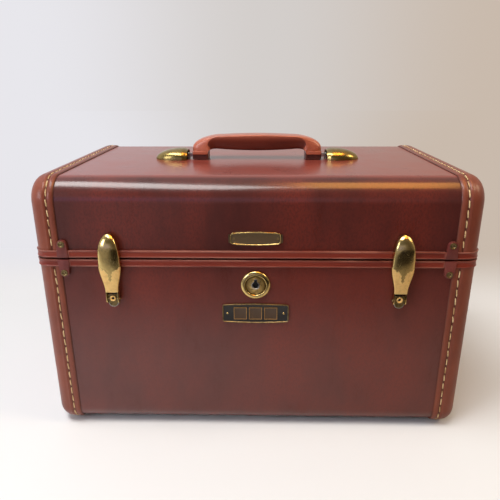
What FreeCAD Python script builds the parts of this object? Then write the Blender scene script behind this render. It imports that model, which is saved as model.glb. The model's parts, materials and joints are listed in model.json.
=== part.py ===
import FreeCAD, Part
import math
import os

# Cosmetic train case: a covered box with stitched leather end pans, a lid hinged at the back,
# two draw latches, a turning lock, a lifting handle on links and a lift-out tray.
# X runs along the case, the front faces -Y, Z is up and the feet stand on Z = 0. Millimetres.

# Case, without its straps, feet and handle
case_width = 328.0
case_depth = 192.0
case_height = 204.1
parting_height = 145.3
parting_gap = 1.6
top_radius = 18.0
bottom_radius = 14.0
wall = 5.0
least_radius = 0.8

# End pans: leather caps that lap over the edges of the wrap
flange_reach = 19.3
flange_rise = 1.2
pan_depth = 12.0
pan_wall = 4.0
end_round = 11.0
stitch_inset = 14.0
groove_width = 2.0
groove_depth = 0.5

# Parting mouldings, straps and tabs
moulding_height = 5.4
moulding_rise = 2.2
moulding_edge = 0.9
strap_thickness = 1.0
tab_inset = 21.7
tab_width = 8.6
tab_reach = 4.9
tab_rivet_radius = 2.5
tab_rivet_height = 1.0
tab_rivet_round = 0.7

# Feet
foot_height = 2.5
foot_radius = 6.5
foot_sole_radius = 5.0
foot_inset_x = 36.0
foot_inset_y = 30.0

# Tongue, linings and mirror
tongue_thickness = 2.0
tongue_clearance = 0.5
tongue_rise = 5.0
tongue_depth = 13.0
lining_thickness = 1.2
lid_lining_gap = 1.5
mirror_width = 190.0
mirror_depth = 112.0
mirror_glass_thickness = 3.0
mirror_border = 6.0
mirror_frame_thickness = 4.0
mirror_lip = 0.8

# Hinges at the back
hinge_inset = 69.0
hinge_width = 36.0
leaf_thickness = 1.2
leaf_height = 20.0
leaf_setback = 2.6
knuckle_radius = 3.0
knuckle_gap = 0.3
hinge_axis_out = 3.4
hinge_pin_radius = 1.25
pin_clearance = 0.05
hinge_rivet_radius = 2.0
hinge_rivet_height = 0.9
hinge_rivet_spacing = 22.0

# Latches
latch_inset = 57.0
latch_drop = 31.3
lever_length = 51.0
lever_low_half = 4.2
lever_wide_half = 7.6
lever_wide_height = 29.5
lever_back_out = 3.0
lever_dome_out = 8.6
lever_wall = 1.3
latch_pivot_out = 4.4
lever_knuckle_radius = 2.9
latch_pin_radius = 1.1
latch_plate_thickness = 1.2
latch_plate_half = 4.6
latch_plate_below = 8.0
latch_plate_above = 20.0
ear_thickness = 1.1
ear_gap = 0.3
ear_radius = 2.4
latch_rivet_drop = 5.2
latch_rivet_radius = 2.0
latch_rivet_height = 0.9
spring_thickness = 0.4
spring_half = 2.0
spring_lift = 0.9
keeper_half = 3.8
keeper_low = 7.0
keeper_height = 10.0
keeper_thickness = 1.0
keeper_bead_radius = 0.8
claw_half = 3.0
claw_height = 3.0
claw_gap = 0.4

# Lock
lock_drop = 20.8
bezel_radius = 11.3
bezel_height = 2.6
bezel_round = 1.6
plug_radius = 7.5
plug_face_out = 2.0
sleeve_wall = 1.5
lock_case_half = 20.0
lock_case_below = 11.5
lock_case_depth = 11.0
lock_case_wall = 1.2
cam_thickness = 2.0
cam_hub_radius = 5.0
cam_nose_height = 3.9
cam_nose_reach = 3.5
cam_arm_left = 6.0
cam_arm_right = 1.0
cam_screw_radius = 1.5
cam_screw_head_radius = 3.0
cam_screw_head_height = 1.6
cam_play = 0.2
keyhole_width = 1.8
keyhole_height = 6.0
keyhole_round = 1.7
keyhole_depth = 3.0
staple_thickness = 1.5
staple_left = 0.5
staple_clearance = 0.7
staple_bar = 2.0
staple_foot_half = 8.0

# Blank plates on the front
plate_drop = 44.3
plate_width = 50.5
plate_height = 14.6
plate_bow = 0.8
plate_thickness = 1.4
plate_rim = 1.0
plate_recess = 0.6
tile_size = 10.0
tile_pitch = 11.6
tile_thickness = 0.5
plate_pin_spacing = 43.0
plate_pin_radius = 0.9
plate_pin_height = 0.5
badge_rise = 15.7
badge_width = 37.2
badge_height = 8.6
badge_bow = 0.9
badge_thickness = 1.6
badge_rim = 0.9
badge_recess = 0.5
badge_pin_spacing = 32.0

# Handle
handle_span = 111.0
handle_leg = 13.5
handle_top = 21.3
handle_shoulder = 17.6
handle_under = 6.6
handle_depth = 20.0
handle_round = 6.5
handle_corner = 13.0
handle_leg_gap = 0.5
ferrule_depth = 16.4
core_inset = 17.5
core_depth = 11.0
core_thickness = 1.5
handle_lift = 9.0
cap_clearance = 2.5
cap_length = 31.0
cap_half_depth = 14.0
cap_height = 9.2
cap_wall = 1.0
link_pivot_inset = 3.0
link_pivot_height = 3.2
link_thickness = 3.0
link_half_height = 1.5
link_eye_half = 2.3
link_pin_radius = 1.0
link_slot_play = 0.6
link_side_gap = 0.6
bracket_ear = 1.2
bracket_base = 0.8

# Tray
tray_gap = 1.0
tray_drop = 3.0
tray_height = 24.0
tray_wall = 2.5
tray_front_gap = 1.5
divider_thickness = 2.0
divider_drop = 3.0
ledge_width = 9.0
ledge_thickness = 4.0

Vec = FreeCAD.Vector
x_way = Vec(1, 0, 0)
y_way = Vec(0, 1, 0)
z_way = Vec(0, 0, 1)
overrun = 1.0

# Places worked out from the driving dimensions
front_reach = lever_dome_out
back_reach = hinge_axis_out + knuckle_radius
mid_y = (front_reach - back_reach) / 2
front_y = mid_y - case_depth / 2
back_y = mid_y + case_depth / 2
bottom_z = foot_height
top_z = bottom_z + case_height
part_z = bottom_z + parting_height
base_rim_z = part_z - parting_gap / 2
lid_rim_z = part_z + parting_gap / 2
end_x = case_width / 2
flange_x = end_x - flange_reach
tab_centre = end_x - tab_inset
wrap_x = end_x - pan_depth
inner_x = end_x - pan_wall
inner_front_y = front_y + wall
inner_back_y = back_y - wall
strap_out = flange_rise + strap_thickness
tongue_top_z = base_rim_z + tongue_rise
tongue_low_z = base_rim_z - tongue_depth
lid_lining_z = tongue_top_z + lid_lining_gap
hinge_axis_y = back_y + hinge_axis_out
hinge_x = end_x - hinge_inset
latch_x = end_x - latch_inset
pivot_y = front_y - latch_pivot_out
pivot_z = part_z - latch_drop
lock_z = part_z - lock_drop
lock_centre = Vec(0, front_y, lock_z)
bore_radius = plug_radius + pin_clearance
sleeve_radius = bore_radius + sleeve_wall
plug_end_y = inner_front_y + lock_case_wall + cam_thickness + cam_play
cam_back_y = plug_end_y + cam_thickness
staple_room = staple_clearance + cam_play
cam_nose_low = plug_radius + 2 * staple_room + staple_bar
cam_nose_high = cam_nose_low + cam_nose_height
cam_tip = math.hypot(cam_nose_high, cam_nose_reach)
lock_case_above = cam_tip + 2 * cam_play + lock_case_wall
tray_low_z = base_rim_z - tray_drop - tray_height
cap_mouth = handle_span / 2 + cap_clearance
link_pivot_x = cap_mouth + link_pivot_inset
link_z = top_z + link_pivot_height
cross_pin_x = handle_span / 2 - handle_leg / 2
core_length = handle_span - 2 * core_inset
link_reach = link_pivot_x - cross_pin_x
link_gap_half = link_thickness / 2 + link_side_gap
ferrule_height = link_pivot_height + link_eye_half + link_slot_play - handle_leg_gap


def box(x0, x1, y0, y1, z0, z1):
    """Makes a block from its limits."""
    return Part.makeBox(x1 - x0, y1 - y0, z1 - z0, Vec(x0, y0, z0))


def rounded_wire(corners, radii, place):
    """Joins corners by lines, with a tangent arc of the given radius at each corner."""
    points = [Vec(u, v, 0) for u, v in corners]
    count = len(points)
    stretches = []
    for i, corner in enumerate(points):
        to_last = (points[i - 1] - corner).normalize()
        to_next = (points[(i + 1) % count] - corner).normalize()
        half = to_last.getAngle(to_next) / 2
        setback = radii[i] / math.tan(half)
        inward = (to_last + to_next).normalize()
        middle = corner + inward * (radii[i] / math.sin(half) - radii[i])
        stretches.append((corner + to_last * setback, middle, corner + to_next * setback))
    edges = []
    for i, (start, middle, end) in enumerate(stretches):
        last_end = stretches[i - 1][2]
        if (start - last_end).Length > 1e-6:
            edges.append(Part.makeLine(place(last_end.x, last_end.y), place(start.x, start.y)))
        if radii[i] > 0:
            arc = Part.Arc(*[place(p.x, p.y) for p in (start, middle, end)])
            edges.append(arc.toShape())
    return Part.Wire(edges)


def prism(wire, way):
    """Extrudes a closed wire."""
    return Part.Face(wire).extrude(way)


def case_block(x0, x1, inset):
    """Solid with the case's end outline, moved inwards by inset, from x0 to x1."""
    y0, y1 = front_y + inset, back_y - inset
    z0, z1 = bottom_z + inset, top_z - inset
    low = max(bottom_radius - inset, least_radius)
    high = max(top_radius - inset, least_radius)
    wire = rounded_wire([(y0, z0), (y1, z0), (y1, z1), (y0, z1)], [low, low, high, high],
                        lambda y, z: Vec(x0, y, z))
    return prism(wire, x_way * (x1 - x0))


def plan_block(x0, outward, z0, z1):
    """Plan outline of the right end pan, moved outwards, from x0 to the end."""
    y0, y1 = front_y - flange_rise - outward, back_y + flange_rise + outward
    round_out = end_round + outward
    wire = rounded_wire([(x0, y0), (end_x + outward, y0), (end_x + outward, y1), (x0, y1)],
                        [0, round_out, round_out, 0], lambda x, y: Vec(x, y, z0))
    return prism(wire, z_way * (z1 - z0))


def slab(z0, z1):
    """Wide block between two heights, used to part the lid from the base."""
    far = case_width
    return box(-far, far, front_y - far, back_y + far, z0, z1)


def base_half(shape):
    """Keeps what lies below the base's rim."""
    return shape.common(slab(bottom_z - case_height, base_rim_z))


def lid_half(shape):
    """Keeps what lies above the lid's rim."""
    return shape.common(slab(lid_rim_z, top_z + case_height))


def left_of(shape):
    """Mirrors a right-hand piece to the left."""
    return shape.mirror(Vec(0, 0, 0), x_way)


def back_of(shape):
    """Mirrors a front piece to the back of the case."""
    return shape.mirror(Vec(0, mid_y, 0), y_way)


def pair(shape):
    """Group of a right-hand piece and its mirror image."""
    return Part.makeCompound([shape, left_of(shape)])


def dome_head(centre, way, radius, height):
    """Rivet head: a cap of a sphere standing on centre along way."""
    ball_radius = (radius ** 2 + height ** 2) / (2 * height)
    ball = Part.makeSphere(ball_radius, centre + way * (height - ball_radius))
    return ball.common(Part.makeCylinder(radius + overrun, height + overrun, centre, way))


def button_head(centre, way, radius, height, edge_round):
    """Flat disc with a rounded rim, standing on centre along way."""
    disc = Part.makeCylinder(radius, height, centre, way)
    rings = [e for e in disc.Edges if len(e.Vertexes) == 1]
    rim = [e for e in rings if (e.CenterOfMass - centre).dot(way) > height / 2]
    return disc.makeFillet(edge_round, rim)


def pin(centre, way, radius, length):
    """Round pin, centred on a point."""
    return Part.makeCylinder(radius, length, centre - way * (length / 2), way)


# Covered boards and end pans

def covered_shell():
    """Tube of board that the base and lid wraps are cut from."""
    inside = case_block(-wrap_x - overrun, wrap_x + overrun, wall)
    return case_block(-wrap_x, wrap_x, 0).cut(inside)


def base_wrap():
    """Front, bottom and back board of the base, bored for the lock's sleeve."""
    bore = pin(lock_centre, y_way, sleeve_radius, 4 * wall)
    return base_half(covered_shell()).cut(bore)


def end_pan():
    """Right leather end: a round-edged cap with a stitch groove in its flange."""
    body = case_block(flange_x, end_x, -flange_rise)
    rim = [e for e in body.Edges if all(abs(v.X - end_x) < 1e-6 for v in e.Vertexes)]
    widest = min(bottom_radius, top_radius) + flange_rise - least_radius
    body = body.makeFillet(min(end_round, widest), rim)
    seat = case_block(flange_x - overrun, wrap_x, 0)
    hollow = case_block(wrap_x - overrun, inner_x, wall)
    groove_x = end_x - stitch_inset
    groove = case_block(groove_x - groove_width / 2, groove_x + groove_width / 2, -flange_rise - overrun)
    core = case_block(flange_x, end_x, groove_depth - flange_rise)
    return body.cut([seat, hollow, groove.cut(core)])


# Mouldings, straps and tabs along the parting line

def moulding(z0):
    """Convex front strip between the tabs, its lower edge at z0."""
    half_x = tab_centre - tab_width / 2
    z1 = z0 + moulding_height
    edge_y = front_y - moulding_edge
    crown_y = front_y - moulding_rise
    section = [(front_y, z0), (edge_y, z0), (crown_y, (z0 + z1) / 2), (edge_y, z1), (front_y, z1)]
    points = [Vec(-half_x, y, z) for y, z in section]
    wire = Part.Wire([Part.makeLine(points[0], points[1]), Part.Arc(*points[1:4]).toShape(),
                      Part.makeLine(points[3], points[4]), Part.makeLine(points[4], points[0])])
    return prism(wire, x_way * (2 * half_x))


def hinge_notches():
    """Gaps in the back mouldings where the hinges lie."""
    room = hinge_width / 2 + leaf_setback
    reach = leaf_height
    x = hinge_x
    return [box(c - room, c + room, back_y, back_y + reach, part_z - reach, part_z + reach) for c in (-x, x)]


def strap(z0, tab_way):
    """Right strap round the end at the rim, with a riveted tab front and back."""
    z1 = z0 + moulding_height
    tab_left = tab_centre - tab_width / 2
    tab_end = z0 - tab_reach if tab_way < 0 else z1 + tab_reach
    band = plan_block(tab_left, strap_thickness, z0, z1)
    low, high = min(tab_end, z0), max(tab_end, z1)
    tab = box(tab_left, tab_left + tab_width, front_y - strap_out, back_y + strap_out, low, high)
    tip = pin(Vec(tab_centre, mid_y, tab_end), y_way, tab_width / 2, case_depth + 2 * strap_out)
    inside = [plan_block(flange_x, 0, low - tab_width, high + tab_width),
              box(0, flange_x, front_y, back_y, low - tab_width, high + tab_width)]
    return band.fuse([tab, tip]).cut(inside)


def tab_rivets(z0, tab_way):
    """Two rivet heads, on the front and back tab of the right strap."""
    z = z0 - tab_reach if tab_way < 0 else z0 + moulding_height + tab_reach
    seat = Vec(tab_centre, front_y - strap_out, z)
    front = button_head(seat, -y_way, tab_rivet_radius, tab_rivet_height, tab_rivet_round)
    return Part.makeCompound([front, back_of(front)])


# Inside

def rim_ring(inset, thickness, z0, z1):
    """Rectangular ring inside the walls."""
    x, y0, y1 = inner_x - inset, inner_front_y + inset, inner_back_y - inset
    t = thickness
    return box(-x, x, y0, y1, z0, z1).cut(box(t - x, x - t, y0 + t, y1 - t, z0 - overrun, z1 + overrun))


def lock_room():
    """Space kept free of tongue and lining round the lock case and the staple."""
    gap = tongue_clearance
    half = lock_case_half + gap
    return box(-half, half, inner_front_y - overrun, inner_front_y + lock_case_depth + gap,
               lock_z - lock_case_below - gap, tongue_top_z + overrun)


def tongue():
    """Guide strip inside the rim: seated on the wall below the rim, set in from the lid above it."""
    low = rim_ring(0, tongue_thickness, tongue_low_z, base_rim_z)
    high = rim_ring(tongue_clearance, tongue_thickness - tongue_clearance, base_rim_z, tongue_top_z)
    return low.fuse(high).removeSplitter().cut(lock_room())


def lining():
    """Closed skin of cloth against the inner walls, before it is parted."""
    inside = case_block(lining_thickness - inner_x, inner_x - lining_thickness, wall + lining_thickness)
    return case_block(-inner_x, inner_x, wall).cut(inside)


def base_lining():
    """Cloth on the base's walls and floor, up to the tongue."""
    return lining().common(slab(bottom_z, tongue_low_z)).cut(lock_room())


def lid_lining():
    """Cloth on the lid's walls and ceiling, clear of the tongue."""
    return lining().common(slab(lid_lining_z, top_z))


def tray_ledge():
    """Right strip that carries the tray, fixed to the end lining."""
    x1 = inner_x - lining_thickness
    y0, y1 = tray_limits()[1:3]
    return box(x1 - ledge_width, x1, y0, y1, tray_low_z - ledge_thickness, tray_low_z)


def foot():
    """Front right glide under the base."""
    centre = Vec(end_x - foot_inset_x, front_y + foot_inset_y, 0)
    return Part.makeCone(foot_sole_radius, foot_radius, foot_height, centre, z_way)


def feet():
    """Four glides."""
    right = foot()
    return Part.makeCompound([right, left_of(right), back_of(right), left_of(back_of(right))])


def mirror_frame():
    """Frame under the lid's ceiling, with a lip below the glass."""
    z1 = top_z - wall - lining_thickness
    z0 = z1 - mirror_frame_thickness
    x, y = mirror_width / 2, mirror_depth / 2
    frame = box(-x, x, mid_y - y, mid_y + y, z0, z1)
    seat_x, seat_y = x - mirror_border / 2, y - mirror_border / 2
    seat = box(-seat_x, seat_x, mid_y - seat_y, mid_y + seat_y, z0 + mirror_lip, z1 + overrun)
    view_x, view_y = x - mirror_border, y - mirror_border
    view = box(-view_x, view_x, mid_y - view_y, mid_y + view_y, z0 - overrun, z1)
    return frame.cut([seat, view])


def mirror_glass():
    """Sheet of mirror glass lying on the frame's lip."""
    z0 = top_z - wall - lining_thickness - mirror_frame_thickness + mirror_lip
    x = mirror_width / 2 - mirror_border / 2
    y = mirror_depth / 2 - mirror_border / 2
    thickness = min(mirror_glass_thickness, mirror_frame_thickness - mirror_lip)
    return box(-x, x, mid_y - y, mid_y + y, z0, z0 + thickness)


# Hinges

def hinge_leaf(way):
    """Right hinge leaf: way is -1 on the base and 1 on the lid."""
    x0 = hinge_x - hinge_width / 2
    third = hinge_width / 3
    stretches = [(x0, x0 + third), (x0 + 2 * third, x0 + hinge_width)]
    if way > 0:
        stretches = [(x0 + third + knuckle_gap, x0 + 2 * third - knuckle_gap)]
    near, far = sorted((part_z + way * leaf_setback, part_z + way * leaf_height))
    leaf = box(x0, x0 + hinge_width, back_y, back_y + leaf_thickness, near, far)
    web_near, web_far = sorted((part_z, part_z + way * (leaf_setback + leaf_thickness)))
    for left, right in stretches:
        knuckle = Part.makeCylinder(knuckle_radius, right - left, Vec(left, hinge_axis_y, part_z), x_way)
        web_y0 = hinge_axis_y - knuckle_radius
        web = box(left, right, web_y0, web_y0 + leaf_thickness, web_near, web_far)
        heel_near = part_z + way * leaf_setback
        foot_near, foot_far = sorted((heel_near, heel_near + way * leaf_thickness))
        heel = box(left, right, back_y, web_y0 + leaf_thickness, foot_near, foot_far)
        leaf = leaf.fuse([knuckle, web, heel])
    bore = Part.makeCylinder(hinge_pin_radius + (pin_clearance if way > 0 else 0), 2 * hinge_width,
                             Vec(x0 - hinge_width / 2, hinge_axis_y, part_z), x_way)
    return leaf.removeSplitter().cut(bore)


def hinge_pin():
    """Right hinge pin, fixed in the base's knuckles."""
    return pin(Vec(hinge_x, hinge_axis_y, part_z), x_way, hinge_pin_radius, hinge_width)


def hinge_rivets(way):
    """Rivet heads on the two leaves of the base or of the lid."""
    z = part_z + way * (leaf_setback + leaf_height) / 2
    heads = []
    for side in (-1, 1):
        for offset in (-hinge_rivet_spacing / 2, hinge_rivet_spacing / 2):
            seat = Vec(side * hinge_x + offset, back_y + leaf_thickness, z)
            heads.append(dome_head(seat, y_way, hinge_rivet_radius, hinge_rivet_height))
    return Part.makeCompound(heads)


# Latches

def lever_half_width(height):
    """Half width of the lever at a height above its pivot."""
    if height < lever_wide_height:
        share = (1 - math.cos(math.pi * height / lever_wide_height)) / 2
        return lever_low_half + (lever_wide_half - lever_low_half) * share
    share = (height - lever_wide_height) / (lever_length - lever_wide_height)
    return lever_wide_half * math.sqrt(1 - share ** 2)


def lever_crest(height):
    """How far the lever's middle stands out from the front at a height above its pivot."""
    low = latch_pivot_out + lever_knuckle_radius
    if height < lever_wide_height:
        share = (1 - math.cos(math.pi * height / lever_wide_height)) / 2
        return low + (lever_dome_out - low) * share
    share = (height - lever_wide_height) / (lever_length - lever_wide_height)
    return lever_back_out + (lever_dome_out - lever_back_out) * math.sqrt(1 - share ** 2)


def lever_section(height, shrink):
    """Cross outline of the lever: a flat back, straight sides and a bowed front."""
    half = lever_half_width(height) - shrink
    crest = lever_crest(height) - shrink
    back = lever_back_out - shrink
    side = back + (crest - back) * 0.45
    z = pivot_z + height
    points = [Vec(u, front_y - out, z) for u, out in
              ((-half, back), (half, back), (half, side), (0, crest), (-half, side))]
    return Part.Wire([Part.makeLine(points[0], points[1]), Part.makeLine(points[1], points[2]),
                      Part.Arc(*points[2:5]).toShape(), Part.makeLine(points[4], points[0])])


def latch_lever():
    """Right latch lever at the middle of the case: a hollow spoon with a knuckle and a claw."""
    upper = lever_length - lever_wide_height
    outer = [lever_wide_height * i / 4 for i in range(5)]
    outer += [lever_wide_height + upper * share for share in (0.35, 0.65, 0.86, 0.98)]
    spoon = Part.makeLoft([lever_section(h, 0) for h in outer], True, False)
    inner = [lever_wide_height * i / 4 for i in range(1, 5)]
    inner += [lever_wide_height + upper * share for share in (0.35, 0.65)]
    hollow = Part.makeLoft([lever_section(h, lever_wall) for h in inner], True, False)
    spoon = spoon.cut(hollow)
    pivot = Vec(0, pivot_y, pivot_z)
    knuckle = pin(pivot, x_way, lever_knuckle_radius, 2 * lever_low_half)
    spoon = spoon.fuse(knuckle)
    bore = pin(pivot, x_way, latch_pin_radius + pin_clearance, 4 * lever_low_half)
    claw_low = part_z + keeper_low + 2 * keeper_bead_radius + claw_gap
    claw_back = keeper_thickness + 2 * keeper_bead_radius + claw_gap
    claw_out = lever_crest(claw_low + claw_height - pivot_z) - lever_wall / 2
    claw_high = claw_low + claw_height
    claw = box(-claw_half, claw_half, front_y - claw_out, front_y - claw_back, claw_low, claw_high)
    return spoon.fuse(claw).cut(bore)


def latch_plate():
    """Latch plate at the middle of the case: a round-ended strip with two ears."""
    low = pivot_z - latch_plate_below
    half = latch_plate_half
    high = pivot_z + latch_plate_above
    strip = box(-half, half, front_y - latch_plate_thickness, front_y, low + half, high)
    end = pin(Vec(0, front_y - latch_plate_thickness / 2, low + half), y_way, half, latch_plate_thickness)
    inner_ear = lever_low_half + ear_gap
    ears = []
    for side in (-1, 1):
        x0, x1 = sorted((side * inner_ear, side * (inner_ear + ear_thickness)))
        ears.append(box(x0, x1, pivot_y, front_y, pivot_z - ear_radius, pivot_z + ear_radius))
        ears.append(Part.makeCylinder(ear_radius, x1 - x0, Vec(x0, pivot_y, pivot_z), x_way))
    bore = pin(Vec(0, pivot_y, pivot_z), x_way, latch_pin_radius, 4 * inner_ear)
    return strip.fuse([end] + ears).removeSplitter().cut(bore)


def latch_pin():
    """Pivot pin, fixed in the plate's ears."""
    length = 2 * (lever_low_half + ear_gap + ear_thickness)
    return pin(Vec(0, pivot_y, pivot_z), x_way, latch_pin_radius, length)


def latch_rivet():
    """Rivet head on the plate's lower end."""
    seat = Vec(0, front_y - latch_plate_thickness, pivot_z - latch_rivet_drop)
    return dome_head(seat, -y_way, latch_rivet_radius, latch_rivet_height)


def latch_spring():
    """Leaf spring on the plate, its upper half lifted towards the lever."""
    low = pivot_z + lever_knuckle_radius + ear_gap
    high = pivot_z + latch_plate_above
    bend = (low + high) / 2
    seat = front_y - latch_plate_thickness
    lifted = seat - spring_lift
    t = spring_thickness
    inner_edge = [(seat, low), (seat, bend), (lifted, high)]
    outline = inner_edge + [(y - t, z) for y, z in reversed(inner_edge)]
    wire = Part.makePolygon([Vec(-spring_half, y, z) for y, z in outline + outline[:1]])
    return prism(wire, x_way * (2 * spring_half))


def latch_keeper():
    """Keeper on the lid: a plate with a bead that the claw stands over."""
    low = part_z + keeper_low
    plate = box(-keeper_half, keeper_half, front_y - keeper_thickness, front_y, low, low + keeper_height)
    bead_y = front_y - keeper_thickness - keeper_bead_radius
    bead_z = low + keeper_bead_radius
    bead = pin(Vec(0, bead_y, bead_z), x_way, keeper_bead_radius, 2 * keeper_half)
    root_high = low + 2 * keeper_bead_radius
    root = box(-keeper_half, keeper_half, bead_y, front_y - keeper_thickness, low, root_high)
    return plate.fuse([bead, root]).removeSplitter()


def at_latches(shape):
    """Group of one latch piece at each latch."""
    return Part.makeCompound([shape.translated(x_way * x) for x in (-latch_x, latch_x)])


# Lock

def lock_bezel():
    """Round-edged ring on the front, bored for the plug."""
    disc = button_head(lock_centre, -y_way, bezel_radius, bezel_height, bezel_round)
    return disc.cut(pin(lock_centre, y_way, bore_radius, 4 * bezel_height))


def lock_case():
    """Box behind the front wall with the plug's sleeve and a slot for the staple."""
    y0, y1 = inner_front_y, inner_front_y + lock_case_depth
    z0, z1 = lock_z - lock_case_below, lock_z + lock_case_above
    t = lock_case_wall
    half = lock_case_half
    shell = box(-half, half, y0, y1, z0, z1).cut(box(t - half, half - t, y0 + t, y1 - t, z0 + t, z1 - t))
    sleeve = Part.makeCylinder(sleeve_radius, wall + t, lock_centre, y_way)
    bore = pin(lock_centre, y_way, bore_radius, 2 * (wall + t + cam_play))
    gap = staple_clearance
    slot_right = staple_left + staple_thickness + gap
    slot = box(staple_left - gap, slot_right, y0 - overrun, y1 - t, z1 - t - overrun, z1 + overrun)
    return shell.fuse(sleeve).cut([bore, slot])


def lock_plug():
    """Turning plug with a keyhole, bored at the back for the cam's screw."""
    start = lock_centre - y_way * plug_face_out
    body = Part.makeCylinder(plug_radius, plug_end_y - start.y, start, y_way)
    slot = box(-keyhole_width / 2, keyhole_width / 2, start.y - overrun, start.y + keyhole_depth,
               lock_z - keyhole_height / 2, lock_z + keyhole_height / 2)
    eye = pin(start + z_way * (keyhole_round - keyhole_height / 2), y_way, keyhole_round, 2 * keyhole_depth)
    screw_hole = pin(Vec(0, plug_end_y, lock_z), y_way, cam_screw_radius, 2 * cam_thickness)
    return body.cut([slot, eye, screw_hole])


def lock_cam():
    """Hooked cam on the plug's end. It lies to the left at rest and stands up when locked."""
    hub = Part.makeCylinder(cam_hub_radius, cam_thickness, Vec(0, plug_end_y, 0), y_way)
    arm = box(-cam_arm_left, -cam_arm_right, plug_end_y, cam_back_y, 0, cam_nose_high)
    nose = box(-cam_arm_left, cam_nose_reach, plug_end_y, cam_back_y, cam_nose_low, cam_nose_high)
    screw_hole = pin(Vec(0, plug_end_y, 0), y_way, cam_screw_radius, 4 * cam_thickness)
    cam = hub.fuse([arm, nose]).removeSplitter().cut(screw_hole)
    cam.rotate(Vec(0, 0, 0), y_way, -90)
    return cam.translated(z_way * lock_z)


def cam_screw():
    """Screw that holds the cam on the plug."""
    seat = Vec(0, cam_back_y, lock_z)
    shank = Part.makeCylinder(cam_screw_radius, 2 * cam_thickness, seat, -y_way)
    head = Part.makeCylinder(cam_screw_head_radius, cam_screw_head_height, seat, y_way)
    return head.fuse(shank).removeSplitter()


def lock_staple():
    """Windowed plate on the lid that the cam's nose passes through, with its foot on the lid's wall."""
    room = staple_room
    x0, x1 = staple_left, staple_left + staple_thickness
    y0 = plug_end_y - room - staple_bar / 2
    y1 = cam_back_y + room + staple_bar / 2
    window_low = lock_z + cam_nose_low - room
    window_high = lock_z + cam_tip + room
    foot_low = lid_rim_z + tongue_clearance
    foot_high = lid_lining_z
    blade = box(x0, x1, y0, y1, window_low - staple_bar, foot_high)
    window = box(x0 - overrun, x1 + overrun, plug_end_y - room, cam_back_y + room, window_low, window_high)
    foot_back = inner_front_y + staple_thickness
    foot = box(-staple_foot_half, staple_foot_half, inner_front_y, foot_back, foot_low, foot_high)
    neck = box(x0, x1, inner_front_y, y1, foot_low, foot_high)
    return blade.fuse([foot, neck]).removeSplitter().cut(window)


# Blank plates

def barrel_plate(width, height, bow, thickness, rim, recess, z):
    """Plate with bowed long sides and a raised rim, on the front at height z."""
    def outline(shrink, out):
        half_w, half_h = width / 2 - shrink, height / 2 - shrink
        y = front_y - out
        low_edge = [(-half_w, -half_h), (0, -half_h - bow), (half_w, -half_h)]
        corner = [Vec(u, y, z + v) for u, v in low_edge + [(-u, -v) for u, v in low_edge]]
        return Part.Wire([Part.Arc(*corner[:3]).toShape(), Part.makeLine(corner[2], corner[3]),
                          Part.Arc(*corner[3:]).toShape(), Part.makeLine(corner[5], corner[0])])
    body = prism(outline(0, 0), -y_way * thickness)
    field = prism(outline(rim, thickness - recess), -y_way * thickness)
    return body.cut(field)


def name_plate():
    """Blank plate under the lock."""
    z = part_z - plate_drop
    return barrel_plate(plate_width, plate_height, plate_bow, plate_thickness, plate_rim, plate_recess, z)


def name_tiles():
    """Three blank tiles in the plate's field."""
    y1 = front_y - plate_thickness + plate_recess
    z = part_z - plate_drop
    half = tile_size / 2
    return Part.makeCompound([box(x - half, x + half, y1 - tile_thickness, y1, z - half, z + half)
                              for x in (-tile_pitch, 0, tile_pitch)])


def plate_pins(spacing, field_out, z):
    """Two pin heads in a plate's field."""
    seat = Vec(spacing / 2, front_y - field_out, z)
    return pair(dome_head(seat, -y_way, plate_pin_radius, plate_pin_height))


def front_badge():
    """Blank badge on the lid's front."""
    z = part_z + badge_rise
    return barrel_plate(badge_width, badge_height, badge_bow, badge_thickness, badge_rim, badge_recess, z)


# Handle

def cap_dome(shrink, length):
    """Teardrop dome: circular bows that shrink towards the outer end."""
    sections = []
    for share in (0, 0.3, 0.55, 0.75, 0.9, 0.985):
        scale = math.sqrt(1 - share ** 2)
        x = cap_mouth + (cap_length - shrink) * length * share
        half = (cap_half_depth - shrink) * scale
        rise = (cap_height - shrink) * scale
        points = [Vec(x, mid_y - half, top_z), Vec(x, mid_y, top_z + rise), Vec(x, mid_y + half, top_z)]
        sections.append(Part.Wire([Part.Arc(*points).toShape(), Part.makeLine(points[2], points[0])]))
    return Part.makeLoft(sections, True, False)


def handle_cap():
    """Right brass cap, open towards the handle."""
    return cap_dome(0, 1).cut(cap_dome(cap_wall, 1))


def handle_bracket():
    """Right bracket under the cap: a foot with two ears for the link's pin."""
    x0, x1 = link_pivot_x - link_half_height, link_pivot_x + 2 * link_eye_half
    far = link_gap_half + bracket_ear
    foot_plate = box(link_pivot_x, x1, mid_y - far, mid_y + far, top_z, top_z + bracket_base)
    ears = []
    for y in (mid_y - far, mid_y + link_gap_half):
        ears.append(box(x0, link_pivot_x + link_half_height, y, y + bracket_ear, top_z, link_z))
        boss_radius = link_half_height + link_pin_radius / 2
        ears.append(Part.makeCylinder(boss_radius, bracket_ear, Vec(link_pivot_x, y, link_z), y_way))
    bore = pin(Vec(link_pivot_x, mid_y, link_z), y_way, link_pin_radius, 4 * far)
    return foot_plate.fuse(ears).removeSplitter().cut(bore)


def bracket_pin():
    """Right pin in the bracket's ears."""
    return pin(Vec(link_pivot_x, mid_y, link_z), y_way, link_pin_radius, 2 * (link_gap_half + bracket_ear))


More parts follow.
